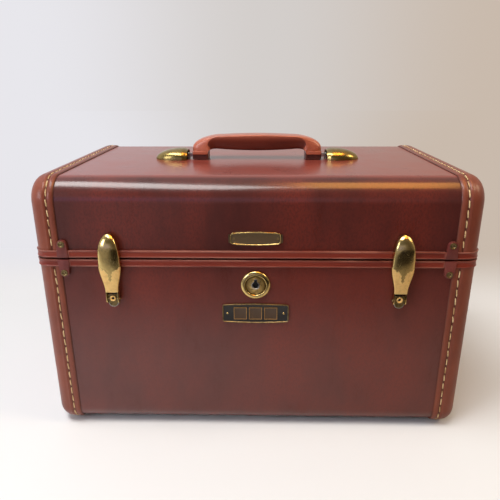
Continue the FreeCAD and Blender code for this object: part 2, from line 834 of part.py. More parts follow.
def handle_link():
    """Right link from the bracket's pin to the handle's cross pin, with a long eye for the lift."""
    far_reach = math.hypot(link_reach, handle_lift)
    t = link_thickness
    y0 = mid_y - t / 2
    eye_x = link_pivot_x - far_reach
    body = box(eye_x, link_pivot_x, y0, y0 + t, link_z - link_half_height, link_z + link_half_height)
    near = Part.makeCylinder(link_half_height + link_pin_radius / 2, t, Vec(link_pivot_x, y0, link_z), y_way)
    ends = [Part.makeCylinder(link_eye_half, t, Vec(x, y0, link_z), y_way) for x in (eye_x, cross_pin_x)]
    eye = box(eye_x, cross_pin_x, y0, y0 + t, link_z - link_eye_half, link_z + link_eye_half)
    play = link_pin_radius + link_slot_play
    holes = [pin(Vec(x, mid_y, link_z), y_way, play, 2 * t) for x in (eye_x, cross_pin_x)]
    holes.append(box(eye_x, cross_pin_x, mid_y - t, mid_y + t, link_z - play, link_z + play))
    holes.append(pin(Vec(link_pivot_x, mid_y, link_z), y_way, link_pin_radius + pin_clearance, 2 * t))
    return body.fuse([near, eye] + ends).removeSplitter().cut(holes)


def handle_outline():
    """Front outline of the grip: a crowned bar with rounded shoulders standing on two short legs."""
    half = handle_span / 2
    leg_z = top_z + handle_leg_gap + ferrule_height
    shoulder_x = half - handle_corner
    y = mid_y - handle_depth / 2
    foot_out, foot_in = Vec(half, y, leg_z), Vec(half - handle_leg, y, leg_z)
    shoulder = Vec(shoulder_x, y, top_z + handle_shoulder)
    bend = 1 - math.sqrt(0.5)
    corner = Vec(half - handle_corner * bend, y, leg_z + (top_z + handle_shoulder - leg_z) * (1 - bend))
    crown = Vec(0, y, top_z + handle_top)
    belly = Vec(0, y, top_z + handle_under)
    under = leg_z + (handle_under - handle_leg_gap - ferrule_height) / 2
    arch_foot = Vec(half - handle_leg - handle_leg / 4, y, under + ferrule_height / 4)

    def flip(p):
        return Vec(-p.x, p.y, p.z)
    edges = [Part.makeLine(foot_in, foot_out), Part.Arc(foot_out, corner, shoulder).toShape(),
             Part.Arc(shoulder, crown, flip(shoulder)).toShape(),
             Part.Arc(flip(shoulder), flip(corner), flip(foot_out)).toShape(),
             Part.makeLine(flip(foot_out), flip(foot_in)), Part.makeLine(flip(foot_in), flip(arch_foot)),
             Part.Arc(flip(arch_foot), belly, arch_foot).toShape(), Part.makeLine(arch_foot, foot_in)]
    return Part.Wire(edges)


def core_box():
    """Steel strip inside the grip."""
    z = top_z + (handle_top + handle_under) / 2
    half_y, half_z = core_depth / 2, core_thickness / 2
    return box(-core_length / 2, core_length / 2, mid_y - half_y, mid_y + half_y, z - half_z, z + half_z)


def handle_grip():
    """Leather grip with rounded long edges, closed round its steel core."""
    bar = prism(handle_outline(), y_way * handle_depth)
    y0, y1 = mid_y - handle_depth / 2, mid_y + handle_depth / 2
    z0 = top_z + handle_leg_gap + ferrule_height / 2
    z1 = top_z + handle_top
    half = handle_span / 2
    low = min(handle_round, ferrule_height / 2)
    section = rounded_wire([(y0, z0), (y1, z0), (y1, z1), (y0, z1)], [low, low, handle_round, handle_round],
                           lambda y, z: Vec(-half, y, z))
    return bar.common(prism(section, x_way * (2 * half))).cut(core_box())


def handle_ferrule():
    """Right end of the handle, slotted from below and outside for the link."""
    x1 = handle_span / 2
    x0 = x1 - handle_leg
    z0 = top_z + handle_leg_gap
    half = ferrule_depth / 2
    block = box(x0, x1, mid_y - half, mid_y + half, z0, z0 + ferrule_height)
    middle_z = z0 + ferrule_height / 2
    upright = [e for e in block.Edges if abs(e.CenterOfMass.z - middle_z) < 1e-6]
    block = block.makeChamfer(least_radius, upright)
    room = link_eye_half + link_slot_play
    slot_left = link_pivot_x - math.hypot(link_reach, handle_lift) - room
    gap = link_gap_half
    slot = box(slot_left, x1 + overrun, mid_y - gap, mid_y + gap, z0 - overrun, z0 + ferrule_height + overrun)
    bore = pin(Vec(cross_pin_x, mid_y, link_z), y_way, link_pin_radius, ferrule_depth + overrun)
    return block.cut([slot, bore])


def cross_pin():
    """Right pin through the ferrule that the link's eye rides on."""
    return pin(Vec(cross_pin_x, mid_y, link_z), y_way, link_pin_radius, ferrule_depth)


# Tray

def tray_limits():
    """Outer limits of the tray in plan: half length, front and back."""
    inset = tongue_thickness + tray_gap
    return inner_x - inset, inner_front_y + lock_case_depth + tray_front_gap, inner_back_y - inset


def tray():
    """Open lift-out tray."""
    x, y0, y1 = tray_limits()
    t = tray_wall
    z1 = tray_low_z + tray_height
    room = box(t - x, x - t, y0 + t, y1 - t, tray_low_z + t, z1 + overrun)
    return box(-x, x, y0, y1, tray_low_z, z1).cut(room)


def tray_divider():
    """Cross wall in the tray."""
    y0, y1 = tray_limits()[1:3]
    half = divider_thickness / 2
    z0 = tray_low_z + tray_wall
    return box(-half, half, y0 + tray_wall, y1 - tray_wall, z0, tray_low_z + tray_height - divider_drop)


def pieces():
    """Every piece of the case by name."""
    base_moulding_z = base_rim_z - moulding_height
    pan = end_pan()
    made = {
        "base_wrap": base_wrap(),
        "base_end_right": base_half(pan),
        "base_trim_front": moulding(base_moulding_z),
        "base_trim_back": back_of(moulding(base_moulding_z)).cut(hinge_notches()),
        "base_strap_right": strap(base_moulding_z, -1),
        "base_tab_rivets_right": tab_rivets(base_moulding_z, -1),
        "base_tongue": tongue(),
        "base_lining": base_lining(),
        "tray_ledges": pair(tray_ledge()),
        "feet": feet(),
        "latch_plates": at_latches(latch_plate()),
        "latch_pins": at_latches(latch_pin()),
        "latch_rivets": at_latches(latch_rivet()),
        "latch_springs": at_latches(latch_spring()),
        "lock_bezel": lock_bezel(),
        "lock_case": lock_case(),
        "name_plate": name_plate(),
        "name_tiles": name_tiles(),
        "name_plate_pins": plate_pins(plate_pin_spacing, plate_thickness - plate_recess, part_z - plate_drop),
        "hinge_base_leaves": pair(hinge_leaf(-1)),
        "hinge_pins": pair(hinge_pin()),
        "hinge_base_rivets": hinge_rivets(-1),
        "lid_wrap": lid_half(covered_shell()),
        "lid_end_right": lid_half(pan),
        "lid_trim_front": moulding(lid_rim_z),
        "lid_trim_back": back_of(moulding(lid_rim_z)).cut(hinge_notches()),
        "lid_strap_right": strap(lid_rim_z, 1),
        "lid_tab_rivets_right": tab_rivets(lid_rim_z, 1),
        "lid_lining": lid_lining(),
        "mirror_glass": mirror_glass(),
        "mirror_frame": mirror_frame(),
        "front_badge": front_badge(),
        "badge_pins": plate_pins(badge_pin_spacing, badge_thickness - badge_recess, part_z + badge_rise),
        "latch_keepers": at_latches(latch_keeper()),
        "lock_staple": lock_staple(),
        "hinge_lid_leaves": pair(hinge_leaf(1)),
        "hinge_lid_rivets": hinge_rivets(1),
        "handle_cap_right": handle_cap(),
        "handle_brackets": pair(handle_bracket()),
        "handle_bracket_pins": pair(bracket_pin()),
        "handle_grip": handle_grip(),
        "handle_core": core_box(),
        "handle_ferrules": pair(handle_ferrule()),
        "handle_cross_pins": pair(cross_pin()),
        "handle_link_right": handle_link(),
        "lock_plug": lock_plug(),
        "lock_cam": lock_cam(),
        "lock_cam_screw": cam_screw(),
        "tray": tray(),
        "tray_divider": tray_divider(),
    }
    for name in [n for n in made if n.endswith("_right")]:
        made[name.replace("_right", "_left")] = left_of(made[name])
    lever = latch_lever()
    made["latch_lever_right"] = lever.translated(x_way * latch_x)
    made["latch_lever_left"] = lever.translated(x_way * -latch_x)
    return made


os.makedirs("parts", exist_ok=True)
for node, shape in sorted(pieces().items()):
    if not shape.isValid() or shape.Volume <= 0:
        print("not sound:", node, shape.Volume)
    shape.exportStep("parts/" + node + ".step")
    print(f"{node:22s} solids {len(shape.Solids)}  volume {shape.Volume:10.1f}")
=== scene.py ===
import json
import logging
import math
import random
from dataclasses import dataclass, replace
from enum import Enum
from functools import cached_property
from typing import Any, Callable, Union

import bmesh
import bpy
from mathutils import Matrix, Vector


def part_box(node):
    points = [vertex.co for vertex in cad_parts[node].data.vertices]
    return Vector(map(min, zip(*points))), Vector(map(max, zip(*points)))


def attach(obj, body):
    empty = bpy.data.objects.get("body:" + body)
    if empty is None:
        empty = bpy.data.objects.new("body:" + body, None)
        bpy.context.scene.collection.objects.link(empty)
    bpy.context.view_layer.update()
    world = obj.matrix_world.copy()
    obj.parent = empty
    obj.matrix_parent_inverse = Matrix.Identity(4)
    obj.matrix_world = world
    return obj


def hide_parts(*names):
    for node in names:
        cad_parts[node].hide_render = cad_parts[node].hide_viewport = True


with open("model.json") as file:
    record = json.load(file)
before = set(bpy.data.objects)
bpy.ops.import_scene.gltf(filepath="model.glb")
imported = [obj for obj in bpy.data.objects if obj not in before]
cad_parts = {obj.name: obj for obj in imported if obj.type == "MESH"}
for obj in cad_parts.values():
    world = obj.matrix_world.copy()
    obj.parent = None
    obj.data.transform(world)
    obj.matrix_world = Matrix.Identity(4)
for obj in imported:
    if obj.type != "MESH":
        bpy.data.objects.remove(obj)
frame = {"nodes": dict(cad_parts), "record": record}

# Lengths are in metres; FACING is how squarely an edge or face lies along an axis when it is picked
MM = 0.001
TINY = 0.01 * MM
MERGE = 0.002 * MM
FACING = 0.9
log = logging.getLogger("train_case")

Rgb = tuple[int, int, int]
Number = Union[float, "Value"]
Formula = Callable[[float, float], Vector]


def linear(colour: Rgb) -> tuple[float, float, float, float]:
    """Turns a colour read off a screen, 0 to 255, into the shader's linear one."""
    parts = [c / 255 for c in colour]
    return (*[p / 12.92 if p < 0.04045 else ((p + 0.055) / 1.055) ** 2.4 for p in parts], 1.0)


def ease(value: float, low: float, high: float) -> float:
    """Rises smoothly from 0 at low to 1 at high."""
    share = min(max((value - low) / (high - low), 0.0), 1.0)
    return share * share * (3 - 2 * share)


class Side(Enum):
    """Left and right end of the case, as the sign of X."""

    LEFT = -1
    RIGHT = 1

    @property
    def word(self) -> str:
        """The side's word in node names."""
        return self.name.lower()


class Half(Enum):
    """The two halves of the case, as the way from the parting line to their outside."""

    BASE = -1
    LID = 1

    @property
    def word(self) -> str:
        """The half's word in node and body names."""
        return self.name.lower()

    @property
    def rim(self) -> float:
        """Height of the half's rim at the parting line."""
        low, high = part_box(self.word + "_wrap")
        return high.z if self is Half.BASE else low.z


class Kind(Enum):
    """Mesh elements that can be selected."""

    CORNER = "VERT"
    EDGE = "EDGE"
    FACE = "FACE"


class Value:
    """A shader socket that takes part in Python arithmetic."""

    def __init__(self, graph: "Graph", socket: bpy.types.NodeSocket) -> None:
        """Keeps the socket and the graph that it belongs to."""
        self.graph = graph
        self.socket = socket

    def __add__(self, other: Number) -> "Value":
        """Sum."""
        return self.graph.calc("ADD", self, other)

    __radd__ = __add__

    def __sub__(self, other: Number) -> "Value":
        """Difference."""
        return self.graph.calc("SUBTRACT", self, other)

    def __rsub__(self, other: Number) -> "Value":
        """Difference from a plain number."""
        return self.graph.calc("SUBTRACT", other, self)

    def __mul__(self, other: Number) -> "Value":
        """Product."""
        return self.graph.calc("MULTIPLY", self, other)

    __rmul__ = __mul__

    def __abs__(self) -> "Value":
        """Size without sign."""
        return self.graph.calc("ABSOLUTE", self)

    def most(self, other: Number) -> "Value":
        """The larger of the two."""
        return self.graph.calc("MAXIMUM", self, other)


class Graph:
    """The node tree of one material."""

    def __init__(self, name: str) -> None:
        """Starts a material with a Principled shader and object coordinates.

        Args:
            name: the material's name.
        """
        self.material: bpy.types.Material | None = bpy.data.materials.new(name)
        self.material.use_nodes = True
        self.tree = self.material.node_tree
        self.shader = self.tree.nodes["Principled BSDF"]
        self.place = self.node("ShaderNodeTexCoord", {}, {}, "Object")

    def node(self, kind: str, settings: dict[str, Any], inputs: dict[Any, Any], out: Any = 0) -> Value:
        """Adds a node.

        Args:
            kind: the node's type.
            settings: its properties, which are set first.
            inputs: a value or link for each named or numbered socket.
            out: the name or number of the output that is wanted.

        Returns:
            That output.
        """
        made = self.tree.nodes.new(kind)
        for key, value in settings.items():
            setattr(made, key, value)
        for key, value in inputs.items():
            self.join(made.inputs[key], value)
        return Value(self, made.outputs[out])

    def join(self, socket: bpy.types.NodeSocket, value: Any) -> None:
        """Links a value to a socket, or sets the socket where the value is a constant.

        Args:
            socket: the input.
            value: a link or a constant.
        """
        if isinstance(value, Value):
            self.tree.links.new(value.socket, socket)
        else:
            socket.default_value = value

    def path(self, kind: str) -> Value:
        """1 for rays of a kind, 0 for others."""
        return self.node("ShaderNodeLightPath", {}, {}, kind)

    def calc(self, operation: str, *values: Number) -> Value:
        """Adds a Math node on values."""
        return self.node("ShaderNodeMath", {"operation": operation}, dict(enumerate(values)))

    def axis(self, letter: str) -> Value:
        """One coordinate of the point that is shaded, in metres."""
        return self.node("ShaderNodeSeparateXYZ", {}, {0: self.place}, letter)

    def spread(self, size: float, stretch: tuple[float, float, float]) -> Value:
        """Coordinates counted in units of size, each axis packed closer by its stretch."""
        scale = tuple(s / size for s in stretch)
        return self.node("ShaderNodeMapping", {}, {"Vector": self.place, "Scale": scale})

    def noise(self, size: float, detail: float = 3.0, rough: float = 0.55,
              stretch: tuple[float, float, float] = (1, 1, 1)) -> Value:
        """Adds a noise pattern.

        Args:
            size: width of its blotches in metres.
            detail: octaves of finer pattern.
            rough: strength of the finer octaves.
            stretch: how much closer each axis is packed.

        Returns:
            A value about 0.5.
        """
        inputs = {"Vector": self.spread(size, stretch), "Scale": 1.0, "Detail": detail, "Roughness": rough}
        return self.node("ShaderNodeTexNoise", {}, inputs, 0)

    def cells(self, size: float, stretch: tuple[float, float, float] = (1, 1, 1)) -> Value:
        """Distance from the middles of cells of a size."""
        inputs = {"Vector": self.spread(size, stretch), "Scale": 1.0}
        return self.node("ShaderNodeTexVoronoi", {"feature": "SMOOTH_F1"}, inputs, "Distance")

    def threads(self, size: float, direction: str) -> Value:
        """Even stripes across one axis.

        Args:
            size: width of a thread in metres.
            direction: the axis, X, Y or Z.

        Returns:
            A value from 0 to 1.
        """
        settings = {"wave_type": "BANDS", "bands_direction": direction}
        inputs = {"Vector": self.spread(size, (1, 1, 1)), "Scale": 0.314, "Distortion": 0.6}
        return self.node("ShaderNodeTexWave", settings, inputs, "Fac")

    def rise(self, value: Value, low: float, high: float) -> Value:
        """Goes smoothly from 0 where value is low to 1 where it is high."""
        settings = {"interpolation_type": "SMOOTHSTEP"}
        return self.node("ShaderNodeMapRange", settings, {0: value, 1: low, 2: high})

    def blend(self, factor: Number, first: Any, second: Any) -> Value:
        """Mixes two colours."""
        inputs = {0: factor, 6: first, 7: second}
        return self.node("ShaderNodeMix", {"data_type": "RGBA"}, inputs, 2)

    def bump(self, height: Value, depth: float, strength: float = 1.0) -> Value:
        """Normal of a surface with relief, depth metres from lowest to highest."""
        return self.node("ShaderNodeBump", {}, {"Height": height, "Distance": depth, "Strength": strength})

    def dress(self, **sockets: Any) -> bpy.types.Material | None:
        """Sets or links the shader's sockets.

        Args:
            sockets: a value for each socket, with its name's spaces as underscores.

        Returns:
            The finished material, or None for a world.
        """
        for key, value in sockets.items():
            self.join(self.shader.inputs[key.replace("_", " ")], value)
        return self.material


class WorldGraph(Graph):
    """The node tree of the scene's world, with directions as its coordinates."""

    def __init__(self, name: str) -> None:
        """Gives the scene a new world.

        Args:
            name: the world's name.
        """
        world = bpy.data.worlds.new(name)
        bpy.context.scene.world = world
        world.use_nodes = True
        self.material = None
        self.tree = world.node_tree
        self.shader = self.tree.nodes["Background"]
        self.place = self.node("ShaderNodeTexCoord", {}, {}, "Generated")


class Model:
    """A mesh that is shaped with edit-mode operators, as by hand."""

    def __init__(self, name: str, finish: "Finish") -> None:
        """Takes over the primitive that was added last and enters edit mode.

        Args:
            name: the piece's name.
            finish: its finish.
        """
        self.obj = bpy.context.active_object
        self.obj.name = name
        self.obj.data.name = name
        self.obj.data.materials.append(finish.material())
        bpy.ops.object.transform_apply(location=True, rotation=True, scale=True)
        bpy.ops.object.mode_set(mode="EDIT")

    @classmethod
    def block(cls, name: str, finish: "Finish", low: Vector, high: Vector) -> "Model":
        """Starts from a cube that is stretched between two corners.

        Args:
            name: the piece's name.
            finish: its finish.
            low: its lowest corner.
            high: its highest corner.

        Returns:
            The model.
        """
        bpy.ops.object.select_all(action="DESELECT")
        bpy.ops.mesh.primitive_cube_add(size=1, location=(low + high) / 2)
        bpy.ops.transform.resize(value=high - low)
        return cls(name, finish)

    @classmethod
    def drum(cls, name: str, finish: "Finish", centre: Vector, way: Vector, radius: float, height: float,
             sides: int = 32) -> "Model":
        """Starts from a cylinder that stands on centre and points along way.

        Args:
            name: the piece's name.
            finish: its finish.
            centre: the middle of its foot.
            way: the way that it points.
            radius: its radius.
            height: its height.
            sides: faces round it.

        Returns:
            The model.
        """
        bpy.ops.object.select_all(action="DESELECT")
        turn = way.to_track_quat("Z", "Y").to_euler()
        bpy.ops.mesh.primitive_cylinder_add(vertices=sides, radius=radius, depth=height,
                                            location=centre + way * (height / 2), rotation=turn)
        return cls(name, finish)

    @classmethod
    def surface(cls, name: str, finish: "Finish", across: int, along: int, place: Formula) -> "Model":
        """Starts from a grid that is bent to a formula, with corners that meet merged.

        Args:
            name: the piece's name.
            finish: its finish.
            across: faces along the formula's first value.
            along: faces along its second value.
            place: the point for two values from 0 to 1.

        Returns:
            The model, all selected.
        """
        bpy.ops.object.select_all(action="DESELECT")
        bpy.ops.mesh.primitive_grid_add(x_subdivisions=across, y_subdivisions=along, size=1)
        made = cls(name, finish)
        made.reshape(lambda at, out: place(at.x + 0.5, at.y + 0.5))
        bpy.ops.mesh.select_all(action="SELECT")
        bpy.ops.mesh.remove_doubles(threshold=MERGE)
        bpy.ops.mesh.normals_make_consistent(inside=False)
        return made

    @property
    def mesh(self) -> bmesh.types.BMesh:
        """The mesh in edit mode."""
        return bmesh.from_edit_mesh(self.obj.data)

    def reshape(self, place: Callable[[Vector, Vector], Vector]) -> "Model":
        """Moves every corner to where a formula on its place and normal puts it.

        Args:
            place: the formula.

        Returns:
            The model.
        """
        mesh = self.mesh
        moved = [(corner, place(corner.co.copy(), corner.normal.copy())) for corner in mesh.verts]
        for corner, spot in moved:
            corner.co = spot
        mesh.normal_update()
        bmesh.update_edit_mesh(self.obj.data)
        return self

    def pick(self, kind: Kind, test: Callable[[Vector, Vector], bool]) -> "Model":
        """Selects what passes a test.

        Args:
            kind: corners, edges or faces.
            test: takes the middle, and the normal or, for an edge, its direction.

        Returns:
            The model, with only those selected.
        """
        bpy.ops.mesh.select_mode(type=kind.value)
        bpy.ops.mesh.select_all(action="DESELECT")
        mesh = self.mesh
        if kind is Kind.FACE:
            found = [(f, f.calc_center_median(), f.normal) for f in mesh.faces]
        elif kind is Kind.EDGE:
            ends = [(e, e.verts[0].co, e.verts[1].co) for e in mesh.edges]
            found = [(e, (a + b) / 2, (b - a).normalized()) for e, a, b in ends]
        else:
            found = [(v, v.co, v.normal) for v in mesh.verts]
        for item, middle, way in found:
            if test(middle, way):
                item.select_set(True)
        mesh.select_flush_mode()
        bmesh.update_edit_mesh(self.obj.data)
        return self

    def bevel(self, width: float, steps: int) -> "Model":
        """Rounds the selected edges."""
        bpy.ops.mesh.bevel(offset=width, segments=steps, affect="EDGES", clamp_overlap=False)
        return self

    def soften(self, width: float, steps: int = 2, angle: float = 50.0) -> "Model":
        """Rounds every edge that is sharper than an angle in degrees.

        Args:
            width: width of the rounding.
            steps: faces across it.
            angle: the angle.

        Returns:
            The model.
        """
        bpy.ops.mesh.select_mode(type="EDGE")
        bpy.ops.mesh.select_all(action="DESELECT")
        bpy.ops.mesh.edges_select_sharp(sharpness=math.radians(angle))
        return self.bevel(width, steps)

    def extrude(self, way: Vector) -> "Model":
        """Extrudes the selection."""
        bpy.ops.mesh.extrude_region_move(TRANSFORM_OT_translate={"value": way})
        return self

    def inset(self, width: float, depth: float = 0.0) -> "Model":
        """Insets the selected faces and moves them along their normals."""
        bpy.ops.mesh.inset(thickness=width, depth=depth)
        return self

    def swell(self, amount: float) -> "Model":
        """Moves the selection along its normals."""
        bpy.ops.transform.shrink_fatten(value=amount)
        return self

    def drop(self) -> "Model":
        """Deletes the selected faces."""
        bpy.ops.mesh.delete(type="FACE")
        return self

    def cut(self, point: Vector, way: Vector, drop: bool = False) -> "Model":
        """Cuts through the whole mesh at a plane, and may drop what lies beyond it.

        Args:
            point: a point of the plane.
            way: the plane's normal.
            drop: whether what lies beyond goes.

        Returns:
            The model.
        """
        bpy.ops.mesh.select_all(action="SELECT")
        bpy.ops.mesh.bisect(plane_co=point, plane_no=way, clear_outer=drop)
        return self

    def paint(self, finish: "Finish") -> "Model":
        """Gives the selected faces another finish.

        Args:
            finish: the other finish.

        Returns:
            The model.
        """
        self.obj.data.materials.append(finish.material())
        for face in self.mesh.faces:
            if face.select:
                face.material_index = len(self.obj.data.materials) - 1
        bmesh.update_edit_mesh(self.obj.data)
        return self

    def thicken(self, wall: float) -> "Model":
        """Gives a sheet a wall on its inner side.

        Args:
            wall: the wall's thickness.

        Returns:
            The model.
        """
        bpy.ops.object.mode_set(mode="OBJECT")
        bpy.ops.object.modifier_add(type="SOLIDIFY")
        added = self.obj.modifiers[-1]
        added.thickness = wall
        added.offset = -1.0
        added.use_even_offset = True
        bpy.ops.object.modifier_apply(modifier=added.name)
        bpy.ops.object.mode_set(mode="EDIT")
        return self

    def leave(self, angle: float = 32.0) -> bpy.types.Object:
        """Leaves edit mode with smooth shading, edges sharper than angle degrees kept sharp.

        Args:
            angle: that angle.

        Returns:
            The object.
        """
        bpy.ops.object.mode_set(mode="OBJECT")
        bpy.ops.object.shade_smooth_by_angle(angle=math.radians(angle))
        return self.obj

    def done(self, body: str, slot: str, *nodes: str, angle: float = 32.0) -> bpy.types.Object:
        """Leaves edit mode, makes the piece ride on its body and hides the CAD nodes that it stands for.

        Args:
            body: the body that it rides on.
            slot: not used.
            nodes: the CAD nodes that it stands for.
            angle: edges sharper than this many degrees stay sharp.

        Returns:
            The finished object.
        """
        return hand_over(self.leave(angle), body, slot, *nodes)


def hand_over(obj: bpy.types.Object, body: str, slot: str, *nodes: str) -> bpy.types.Object:
    """Makes an object ride on a body and stand for nodes, which it hides.

    Args:
        obj: the object.
        body: the body's name.
        slot: not used.
        nodes: the CAD nodes, if any.

    Returns:
        The object.
    """
    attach(obj, body)
    if nodes:
        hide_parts(*nodes)
    log.info("%s on %s, %d faces", obj.name, body, len(obj.data.polygons))
    return obj


def copies(model: bpy.types.Object, name: str, moves: list[Matrix]) -> bpy.types.Object:
    """Copies a finished mesh to several places and joins the copies.

    Args:
        model: the object that is copied, and removed afterwards.
        name: the name of the joined object.
        moves: where each copy goes.

    Returns:
        The joined object.
    """
    made = []
    for move in moves:
        twin = model.copy()
        twin.data = model.data.copy()
        twin.data.transform(move)
        bpy.context.collection.objects.link(twin)
        made.append(twin)
    bpy.data.objects.remove(model)
    bpy.ops.object.select_all(action="DESELECT")
    for twin in made:
        twin.select_set(True)
    bpy.context.view_layer.objects.active = made[0]
    bpy.ops.object.join()
    made[0].name = name
    made[0].data.name = name
    return made[0]


@dataclass(frozen=True)
class Finish:
    """A named finish, made as a material the first time it is used."""

    name: str

    def material(self) -> bpy.types.Material:
        """The finish's material."""
        name = "finish_" + self.name
        return bpy.data.materials.get(name) or self.make(Graph(name))

    def make(self, graph: Graph) -> bpy.types.Material:
        """Builds the nodes; each kind of finish has its own."""
        raise NotImplementedError


@dataclass(frozen=True)
class Hide(Finish):
    """Leather or coated cloth: mottled colour over a fine pebbled grain."""

    tone: Rgb
    deep: Rgb
    warm: Rgb
    patch: float = 22 * MM
    streak: tuple[float, float, float] = (1, 1, 0.5)
    warm_share: float = 0.6
    grain: float = 0.9 * MM
    grain_depth: float = 0.05 * MM
    gloss: float = 0.38
    gloss_spread: float = 0.16
    coat: float = 0.0
    coat_gloss: float = 0.12
    shine: float = 0.5
    scuff: Rgb = (190, 150, 135)
    scuff_share: float = 0.0
    speck: float = 1.4 * MM
    speck_share: float = 0.0
    # These four fields paint light: with height the colour turns towards a lighter tone, standing in for
    # light falling from above
    faded: Rgb | None = None
    fade_from: float = 0.0
    fade_to: float = 1.0
    faded_coat: float = 1.0
    scuff_size: float = 2.6 * MM

    def make(self, graph: Graph) -> bpy.types.Material:
        """Mottles the colour, pebbles the surface and rubs it pale in places.

        Args:
            graph: the graph to build in.

        Returns:
            The finished material.
        """
        mottle = graph.noise(self.patch, 5, 0.62, self.streak)
        drift = graph.noise(self.patch * 2.7, 3, 0.5, self.streak)
        fine = graph.noise(self.grain * 0.6, 2)
        pebble = graph.cells(self.grain)
        colour = graph.blend(graph.rise(mottle, 0.34, 0.66), linear(self.deep), linear(self.tone))
        colour = graph.blend(graph.rise(drift, 0.46, 0.68) * self.warm_share, colour, linear(self.warm))
        if self.speck_share:
            specks = graph.noise(self.speck, 4, 0.65, (1, 1, 0.6))
            colour = graph.blend(graph.rise(specks, 0.42, 0.66) * self.speck_share, colour, linear(self.deep))
        coat: Value | float = self.coat
        # Painted light: the upper part turns towards the lighter tone, where light falls from above
        if self.faded:
            height = graph.rise(graph.axis("Z"), self.fade_from, self.fade_to)
            colour = graph.blend(height * (0.6 + 0.5 * mottle), colour, linear(self.faded))
            coat = self.coat - self.coat * (1 - self.faded_coat) * height
        colour = self.rub(graph, colour, fine)
        rough = self.gloss + self.gloss_spread * (mottle - 0.5) + 0.1 * (fine - 0.5)
        swell = graph.noise(self.patch * 0.8, 1)
        relief = graph.bump(pebble * 0.7 + fine * 0.5 + swell * 3, self.grain_depth, 0.8)
        return graph.dress(Base_Color=colour, Roughness=rough, Normal=relief, Coat_Weight=coat,
                           Coat_Roughness=self.coat_gloss, Specular_IOR_Level=self.shine)

    def rub(self, graph: Graph, colour: Value, fine: Value) -> Value:
        """Adds small pale scuffs to the colour; SeamHide adds painted shade here too.

        Args:
            graph: the graph to build in.
            colour: the colour so far.
            fine: the grain's fine noise.

        Returns:
            The rubbed colour.
        """
        if not self.scuff_share:
            return colour
        marks = graph.noise(self.scuff_size, 6, 0.72, (0.35, 0.35, 1.0))
        mask = graph.rise(marks + 0.1 * fine, 0.66, 0.78)
        return graph.blend(mask * self.scuff_share, colour, linear(self.scuff))


@dataclass(frozen=True)
class SeamHide(Hide):
    """End leather with painted shade in its seam groove and along its turned edge, and paler where the hand
    rubs it.
    """

    seam: float = 150 * MM
    seam_half: float = 0.75 * MM
    seam_tone: Rgb = (64, 33, 21)
    edge: float = 144.7 * MM
    edge_half: float = 0.55 * MM

    def rub(self, graph: Graph, colour: Value, fine: Value) -> Value:
        """Adds the scuffs, then paints shade into the seam groove and along the turned edge.

        Args:
            graph: the graph to build in.
            colour: the colour so far.
            fine: the grain's fine noise.

        Returns:
            The rubbed colour.
        """
        colour = super().rub(graph, colour, fine)
        # Painted shade: darker in the seam groove between the stitches and along the turned inner edge, where
        # shade falls
        across = abs(graph.axis("X"))
        line = 1 - graph.rise(abs(across - self.seam), self.seam_half * 0.5, self.seam_half * 1.5)
        turned = 1 - graph.rise(across - self.edge, self.edge_half * 0.4, self.edge_half * 1.6)
        mask = (line * 0.75).most(turned * 0.7)
        return graph.blend(mask * (0.75 + 0.5 * (fine - 0.5)), colour, linear(self.seam_tone))


@dataclass(frozen=True)
class Brass(Finish):
    """Brass with tarnish clouds, specks and fine scratches."""

    tone: Rgb
    tarnish: Rgb
    tarnish_share: float = 0.5
    cloud: float = 5 * MM
    gloss: float = 0.16
    scratch: tuple[float, float, float] = (1, 1, 0.08)
    scratch_depth: float = 0.012 * MM
    dent_depth: float = 0.05 * MM
    metallic: float = 1.0
    speck: float = 0.9 * MM
    scratch_width: float = 0.22 * MM

    def make(self, graph: Graph) -> bpy.types.Material:
        """Clouds the colour and roughens it where it has dulled.

        Args:
            graph: the graph to build in.

        Returns:
            The finished material.
        """
        clouds = graph.noise(self.cloud, 5, 0.66)
        specks = graph.noise(self.speck, 4, 0.7)
        lines = graph.noise(self.scratch_width, 2, 0.6, self.scratch)
        dents = graph.noise(self.cloud * 0.6, 2)
        dull = graph.rise(clouds + 0.45 * (specks - 0.5), 0.42, 0.72)
        colour = graph.blend(dull * self.tarnish_share, linear(self.tone), linear(self.tarnish))
        spots = graph.rise(specks, 0.68, 0.76) * self.tarnish_share
        colour = graph.blend(spots, colour, linear(self.tarnish))
        rough = self.gloss + 0.22 * self.tarnish_share * dull + 0.14 * (lines - 0.4)
        relief = graph.bump(lines * self.scratch_depth + dents * self.dent_depth, 1.0)
        return graph.dress(Base_Color=colour, Roughness=rough, Metallic=self.metallic, Normal=relief)


@dataclass(frozen=True)
class Weave(Finish):
    """Woven lining with a soft sheen."""

    tone: Rgb
    deep: Rgb
    thread: float = 0.55 * MM
    gloss: float = 0.5
    sheen: float = 0.35
    slub: float = 7 * MM
    thread_depth: float = 0.06 * MM

    def make(self, graph: Graph) -> bpy.types.Material:
        """Crosses two sets of threads and varies their colour a little.

        Args:
            graph: the graph to build in.

        Returns:
            The finished material.
        """
        warp = graph.threads(self.thread, "X").most(graph.threads(self.thread, "Y"))
        weft = graph.threads(self.thread, "Z")
        slub = graph.noise(self.slub, 4, 0.6)
        cloth = warp * 0.5 + weft * 0.5
        raised = graph.rise(cloth + 0.5 * (slub - 0.5), 0.2, 0.9)
        colour = graph.blend(raised, linear(self.deep), linear(self.tone))
        relief = graph.bump(cloth, self.thread_depth, 0.6)
        return graph.dress(Base_Color=colour, Roughness=self.gloss + 0.2 * (slub - 0.5), Normal=relief,
                           Sheen_Weight=self.sheen, Sheen_Roughness=0.4)


